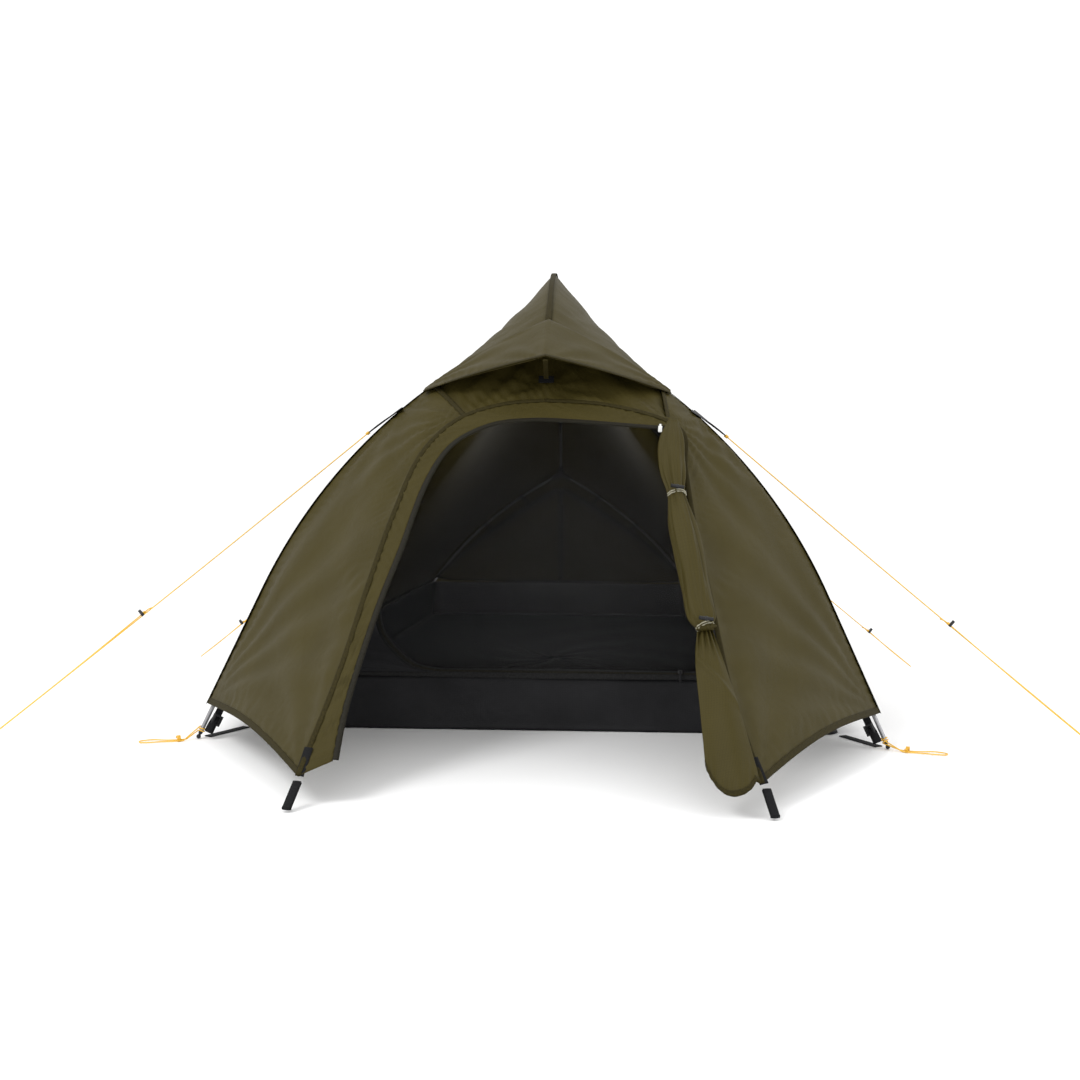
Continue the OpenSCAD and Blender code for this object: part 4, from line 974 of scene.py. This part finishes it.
def make_inner_front():
    middle = front_wall_point((0, 400))
    outer = by_angle(wall_outline(False, 60), 180, middle)
    door = by_angle(door_loop(), 180, middle)
    front = cloth_from("inner_front_netting", ring_grid(outer, door, 14), "inner_mesh", ["inner_front_wall"])
    front.data.materials.append(LOOKS["tub_cloth"])
    for face in front.data.polygons:
        face.material_index = int(face.center.z < SOLID_TOP)
    slack = ring_grid(mix(middle, door, 0.99), mix(middle, door, FAN_HOLE), 24)
    depth = np.sin(np.pi * np.linspace(0, 1, 24) / 2)[:, None, None]
    slack = slack + depth * arr(0, -0.012, -0.003)
    cloth_from("inner_door_netting", slack, "inner_mesh", ["inner_door"])
    loop = closed(door)
    toward = [unit(p - middle) for p in loop]
    ahead = unit(arr(0, -1, FRONT_RUN))
    inner_tape("inner_zip_tape", loop, toward, 0.016, ahead, stands_for=["inner_door_zip"])
    for k, shift in enumerate((-0.0012, 0.0012)):
        coil = [p + t * shift + ahead * 0.0014 for p, t in zip(loop, toward)]
        cord_curve(f"inner_zip_coil_{k}", coil, 0.0009, "zip_coil")
    edge = closed(outer)
    inner_tape("inner_front_tape", edge, [unit(p - middle) for p in edge], 0.014, ahead)


def make_inner_rear():
    back = arr(0, inner_rear(1, 0.6)[1], 0.22)
    rim = by_angle(wall_outline(True, 60), 120, back)
    fan = ring_grid(rim, mix(back, rim, FAN_HOLE), 18)
    cloth_from("inner_rear_netting", fan, "inner_mesh", ["inner_rear_wall"])
    loop = closed(rim)
    inner_tape("inner_rear_tape", loop, [unit(p - back) for p in loop], 0.014, unit(arr(0, 1, -REAR_RUN)))
    crown = inner_rear(1, 0.03) * arr(0, 1, 1)
    foot = arr(0, TUB_REAR, WALL_Z)
    seam = [mix(crown, foot, s) - arr(0, 0.003, 0) for s in np.linspace(0, 1, 60)]
    inner_tape("inner_rear_seam", seam, ACROSS, 0.014, arr(0, -1, 0), 0.0004, 0.0006)


def make_tub_seams():
    for side, name in SIDES:
        line = [inner_side(side, 1, t) for t in np.linspace(0, 1, 60)]
        inner_tape(f"tub_seam_{name}", line, arr(0, 0, 1), 0.012, arr(side, 0, 0), 0.0014, 0.0006)


def make_tub():
    """Floor and walls in one sheet: rings out across the floor, round the lower edge and up the wall."""
    plan = [arr(-FLOOR_FRONT, TUB_FRONT, 0), arr(FLOOR_FRONT, TUB_FRONT, 0), arr(FLOOR_REAR, TUB_REAR, 0),
            arr(-FLOOR_REAR, TUB_REAR, 0)]
    loop = []
    for a, b in zip(plan, plan[1:] + plan[:1]):
        inset = 0.02 * unit(b - a)
        loop += [mix(a + inset, b - inset, f) for f in np.linspace(0, 1, 44)]
    loop = np.array(loop)
    middle = arr(0, (TUB_FRONT + TUB_REAR) / 2, 0)
    outward = (loop - middle) / np.linalg.norm(loop - middle, axis=1)[:, None]
    run = run_along(closed(loop))[1:]
    rows = []
    for f in np.linspace(0.001, 1, 26):
        row = mix(middle, loop, f)
        row[:, 2] = 0.0012 + 0.0012 * (1 + np.sin(run * 11 + f * 17)) * (f < 0.97)
        rows.append(row)
    for h in np.linspace(0.06, 1, 12):
        lean = 0.002 * math.sin(math.pi * h)
        wave = 0.004 * np.sin(run * 9.2 + 1.1) * math.sin(math.pi * h) + 0.0015 * np.sin(run * 37 + 4 * h)
        row = mix(loop, middle, lean) + outward * (wave * h - 0.004)[:, None]
        row[:, 2] = 0.001 + TUB_H * h - 0.004 * h * (1 + np.sin(run * 8.0)) / 2
        rows.append(row)
    grid = np.array(rows)
    grid = np.concatenate([grid, grid[:, :1]], axis=1)
    cloth_from("tub_cloth", grid, "tub_cloth", ["inner_floor"], thick=0.0008)


# ---------------- cords
GUY_R = 0.00125
# A guy's returning strand lies this far beside the standing one, and it turns this far before the stake
STRAND, TURN_BACK = 0.009, 0.012
# exit, stake and tensioner's place of the front and side guys on the right; the left ones are mirrored
GUYS = {
    "front": (arr(0.382, FRONT_Y + 0.222, 0.632), arr(1.130, FRONT_Y, 0.002), 0.620),
    "side": (arr(0.432, FRONT_Y + 1.100, 0.452), arr(0.980, FRONT_Y + 1.060, 0.002), 0.560),
}
FOOT_ROUTE = [(724, -14, 2), (742, -24, 2), (764, -28, 2), (786, -25, 2), (802, -32, 2), (812, -44, 2),
              (804, -56, 2), (786, -52, 2), (766, -44, 2), (744, -38, 2), (726, -30, 2)]


def coil_knot(name, at, along, size, mat="guy_cord", body=TENT, turns=3):
    """A few tight turns of cord round a line, as a stopper knot looks from outside."""
    d = unit(along)
    a = unit(np.cross(d, arr(0.2, 0.3, 1)))
    b = np.cross(d, a)
    line = []
    for k in range(turns * 14 + 1):
        w = 2 * math.pi * k / 14
        line.append(at + d * (k / (turns * 14) - 0.5) * turns * 2.1 * GUY_R
                    + (a * math.cos(w) + b * math.sin(w)) * size)
    return tube_mesh(name, line, GUY_R, mat, 8, body)


def make_guys():
    for which, (right_exit, right_stake, slide) in GUYS.items():
        for side, name in SIDES:
            flip = arr(side, 1, 1)
            start, stake = right_exit * flip, right_stake * flip
            d = unit(stake - start)
            w = unit(np.cross(d, arr(0, 0, 1)))
            reach = float(np.linalg.norm(stake - start)) - TURN_BACK
            stand = [start + d * reach * f - arr(0, 0, 0.003) * math.sin(math.pi * f)
                     for f in np.linspace(0, 1, 60)]
            turn = [start + d * (reach + 0.005 * math.sin(a)) + w * STRAND * (1 - math.cos(a)) / 2
                    for a in np.linspace(0, math.pi, 14)[1:]]
            line = stand + turn
            body = f"tensioner_{which}_{name}"
            cord = cord_curve(f"guy_{which}_{name}_line", line, GUY_R, "guy_cord")
            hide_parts(f"guy_{which}_{name}")
            tied = coil_knot(f"guy_{which}_{name}_knot", start + d * 0.006, d, 0.0026)
            tuple(start)
            home = start + d * (slide + 0.004) + w * STRAND
            back = [mix(line[-1], home, f) - arr(0, 0, 0.0016) * math.sin(math.pi * f)
                    for f in np.linspace(0, 1, 40)]
            tail = [home - d * 0.012, home - d * 0.022 + w * 0.004,
                    home - d * 0.034 + w * 0.005 - arr(0, 0, 0.004)]
            slack = tube_mesh(f"guy_{which}_{name}_return", back + tail, GUY_R, "guy_cord")
            slack.parent = None
            tuple(line[-1])
            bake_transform(slack)
            stop = coil_knot(f"guy_{which}_{name}_stopper", home - d * 0.011, d, 0.0022, body=body)
            tuple(line[-1])


def make_foot_loops():
    for side, name in SIDES:
        route = [spline(FOOT_ROUTE, i / 60) * MM * arr(side, 1, 1) + arr(0, FRONT_Y, 0) for i in range(61)]
        cord = cord_curve(f"foot_cord_{name}", route, GUY_R, "guy_cord")
        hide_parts(f"foot_loop_{name}")
        ends = coil_knot(f"foot_knot_{name}", mix(route[4], route[-5], 0.5) + arr(0, 0, 0.0045),
                         route[6] - route[4], 0.005)
        foot = front_leg(side, LEG_ARC + LEG_STRAIGHT - 0.016, 0)
        d = unit(front_leg(side, LEG_ARC + LEG_STRAIGHT - 0.05, 0) - foot)
        a = unit(np.cross(d, arr(0, 1, 0)))
        b = np.cross(d, a)
        wrap = [route[0]] + [foot + 0.0062 * (a * math.cos(w) + b * math.sin(w)) + d * 0.0008 * w
                             for w in np.linspace(0, 4 * math.pi, 40)] + [route[-1]]
        tied = tube_mesh(f"foot_wrap_{name}", even_steps(wrap, 90), GUY_R, "guy_cord", 8)
        tuple(route[0])


# ---------------- webbing, tabs and loops
# Width of the webbing, and how far inside the poles the corner straps lie
WEBBING, STRAP_GAP = 0.015, 0.017


def ribbon(name, a, b, width, up, sag=0.0):
    """A length of webbing from a to b whose face looks up."""
    line = [mix(a, b, s) + up * sag * math.sin(math.pi * s) for s in np.linspace(0, 1, 24)]
    side = unit(np.cross(up, unit(b - a)))
    return strip(name, line, side, width, up, 0.0, "webbing", 0.0011)


def peg_loop(name, top, low, body):
    """A band of webbing sewn to the hem: down, round the peg's place and up again."""
    d = unit(low - top)
    side = unit(np.cross(d, arr(0, 0, 1)) + arr(1e-6, 0, 0))
    out = unit(np.cross(side, d))
    n = float(np.linalg.norm(low - top))
    line = [top + out * 0.0018 + d * f for f in np.linspace(0, n - 0.004, 16)]
    line += [low - d * 0.004 + d * 0.004 * math.sin(a) + out * 0.0032 * math.cos(a)
             for a in np.linspace(0.3, math.pi - 0.3, 12)]
    line += [top - out * 0.0018 + d * f for f in np.linspace(n - 0.004, 0, 16)]
    ups = [unit(np.cross(side, r)) for r in tangents(line)]
    strip(f"{name}_webbing", line, side, WEBBING, ups, 0.0, "webbing", 0.0009, body, [name])


# Where the peg loops are sewn and where they reach the pegs, and how far a peg tab runs to its loop
PEG_TOP, PEG_LOW = arr(0.394, FRONT_Y - 0.534, 0.042), arr(0.405, FRONT_Y - 0.576, 0.005)
REAR_PEG_TOP, REAR_PEG_LOW = arr(0, REAR_Y + 0.112, 0.042), arr(0, REAR_Y + 0.208, 0.005)
FRONT_TAB, REAR_TAB = 0.84, 0.8


def make_peg_loops():
    for side, name in SIDES:
        flip = arr(side, 1, 1)
        peg_loop(f"peg_loop_{name}", PEG_TOP * flip, PEG_LOW * flip, f"peg_loop_{name}")
        top = seam_at(side, 0.05) + DOOR_NORMAL * 0.002
        ribbon(f"peg_tab_{name}", top, mix(top, PEG_TOP * flip, FRONT_TAB), WEBBING, DOOR_NORMAL)
    peg_loop("peg_loop_rear", REAR_PEG_TOP, REAR_PEG_LOW, "peg_loop_rear")
    top = rear_point(0.93, 0.5) + arr(0, 0.002, 0.001)
    ribbon("peg_tab_rear", top, mix(top, REAR_PEG_TOP, REAR_TAB), WEBBING, unit(arr(0, 1, 0.6)))


def make_corner_straps():
    # each leg with the hem's place down it, its length and the way that the strap's outer face looks
    for where, leg, hem, end, outward in (("front", front_leg, HEM_FRONT, LEG_ARC + LEG_STRAIGHT, -1),
                                          ("rear", rear_leg, HEM_REAR, REAR_ARC, 1)):
        for side, name in SIDES:
            a, b = leg(side, hem - 0.004, -STRAP_GAP), leg(side, end - 0.020, -STRAP_GAP)
            across = unit(a - leg(side, hem, 0))
            up = unit(np.cross(across, unit(b - a)))
            up = up if up[1] * outward > 0 else -up
            ribbon(f"corner_strap_{where}_{name}", a, b, WEBBING, up)
            ribbon(f"corner_tail_{where}_{name}", mix(a, b, 0.45) + up * 0.004, b + up * 0.012, WEBBING, up,
                   sag=0.004)
    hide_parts("fly_corner_straps")


def make_guy_tabs():
    for side, name in SIDES:
        bases = {"front": front_leg(side, GUY_PULL, FLY_GAP + 0.003),
                 "side": fly_side(side, 0.55, 0.52) + arr(side * 0.004, 0, 0.003)}
        for which, base in bases.items():
            end = GUYS[which][0] * arr(side, 1, 1)
            d = unit(end - base)
            wide = unit(np.cross(d, arr(0, 0, 1)))
            grid = []
            for s in np.linspace(0, 1, 16):
                half = mix(0.030, 0.005, s ** 0.8)
                grid.append([mix(base, end, s) + wide * half * t + arr(0, 0, 0.0015) * math.sin(5 * t + 3 * s)
                             for t in np.linspace(-1, 1, 14)])
            cloth_from(f"guy_tab_{which}_{name}", np.array(grid), "tub_cloth")
            up = unit(np.cross(wide, d))
            ribbon(f"guy_tab_tape_{which}_{name}", mix(base, end, 0.35), end + d * 0.004, 0.010,
                   up if up[2] > 0 else -up, sag=0.001)
    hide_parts("guy_tabs")


def make_toggle_loops():
    """Elastic loops round the rolled door, each with the toggle that closes it."""
    for k, s in enumerate((UPPER_PINCH, LOWER_PINCH)):
        tang = roll_run(s)
        across = unit(np.cross(tang, DOOR_NORMAL))
        for j, shift in enumerate((-0.0026, 0.0026)):
            ring = []
            for w in np.linspace(0, 2 * math.pi, 61):
                r = plump(s) * (1.07 + 0.03 * math.sin(9 * w + 3 * k))
                ring.append(roll_point(s) + tang * (shift + 0.001 * math.sin(2 * w))
                            + across * ROLL_WIDE * r * math.cos(w)
                            + DOOR_NORMAL * ROLL_DEEP * r * math.sin(w))
            tube_mesh(f"toggle_elastic_{k}_{j}", ring, 0.0013, "elastic", 8)
    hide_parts("toggle_loops")


# ---------------- CAD nodes that stay
def paint(node, mat, bevel=0.0):
    piece = nodes[node]
    piece.data.materials.clear()
    piece.data.materials.append(LOOKS[mat])
    if bevel:
        cut = piece.modifiers.new("edges", "BEVEL")
        cut.width = bevel
        cut.segments = 2
        cut.limit_method = "ANGLE"
        cut.angle_limit = math.radians(40)


def paint_nodes():
    for node in ("front_hub", "rear_hub"):
        paint(node, "hub_plastic", 0.0008)
    for node in ("front_left_pole", "front_right_pole", "ridge_pole", "rear_left_pole", "rear_right_pole"):
        paint(node, "pole_metal")
    paint("pole_ferrules", "ferrule_metal", 0.0002)
    paint("shock_cords", "shock_cord")
    for node in ("pole_tips", "inner_clips", "upper_toggle", "lower_toggle", "fly_corner_buckles"):
        paint(node, "black_plastic", 0.0004)
    for node in nodes:
        if node.startswith("tensioner_"):
            paint(node, "black_plastic", 0.0004)
    for node in ("zip_slider_left", "zip_slider_right", "inner_zip_slider"):
        paint(node, "slider_metal", 0.0003)
    for node in ("zip_pull_left", "zip_pull_right"):
        paint(node, "pull_white", 0.0003)
    paint("inner_zip_pull", "black_plastic", 0.0003)
    paint("inner_corner_tabs", "webbing", 0.0002)
    paint("vent_prop", "binding", 0.0004)
    paint("vent_patch", "webbing", 0.0003)


make_camera()
make_stage()
make_guys()
make_foot_loops()
make_fly_sides()
make_fly_rear()
make_front_panels()
make_brow()
make_band()
make_hood()
make_rear_vent()
make_bindings()
make_rolled_door()
make_skirt()
make_zip()
make_toggle_loops()
make_inner_walls()
make_inner_front()
make_inner_rear()
make_tub_seams()
make_tub()
make_peg_loops()
make_corner_straps()
make_guy_tabs()
paint_nodes()
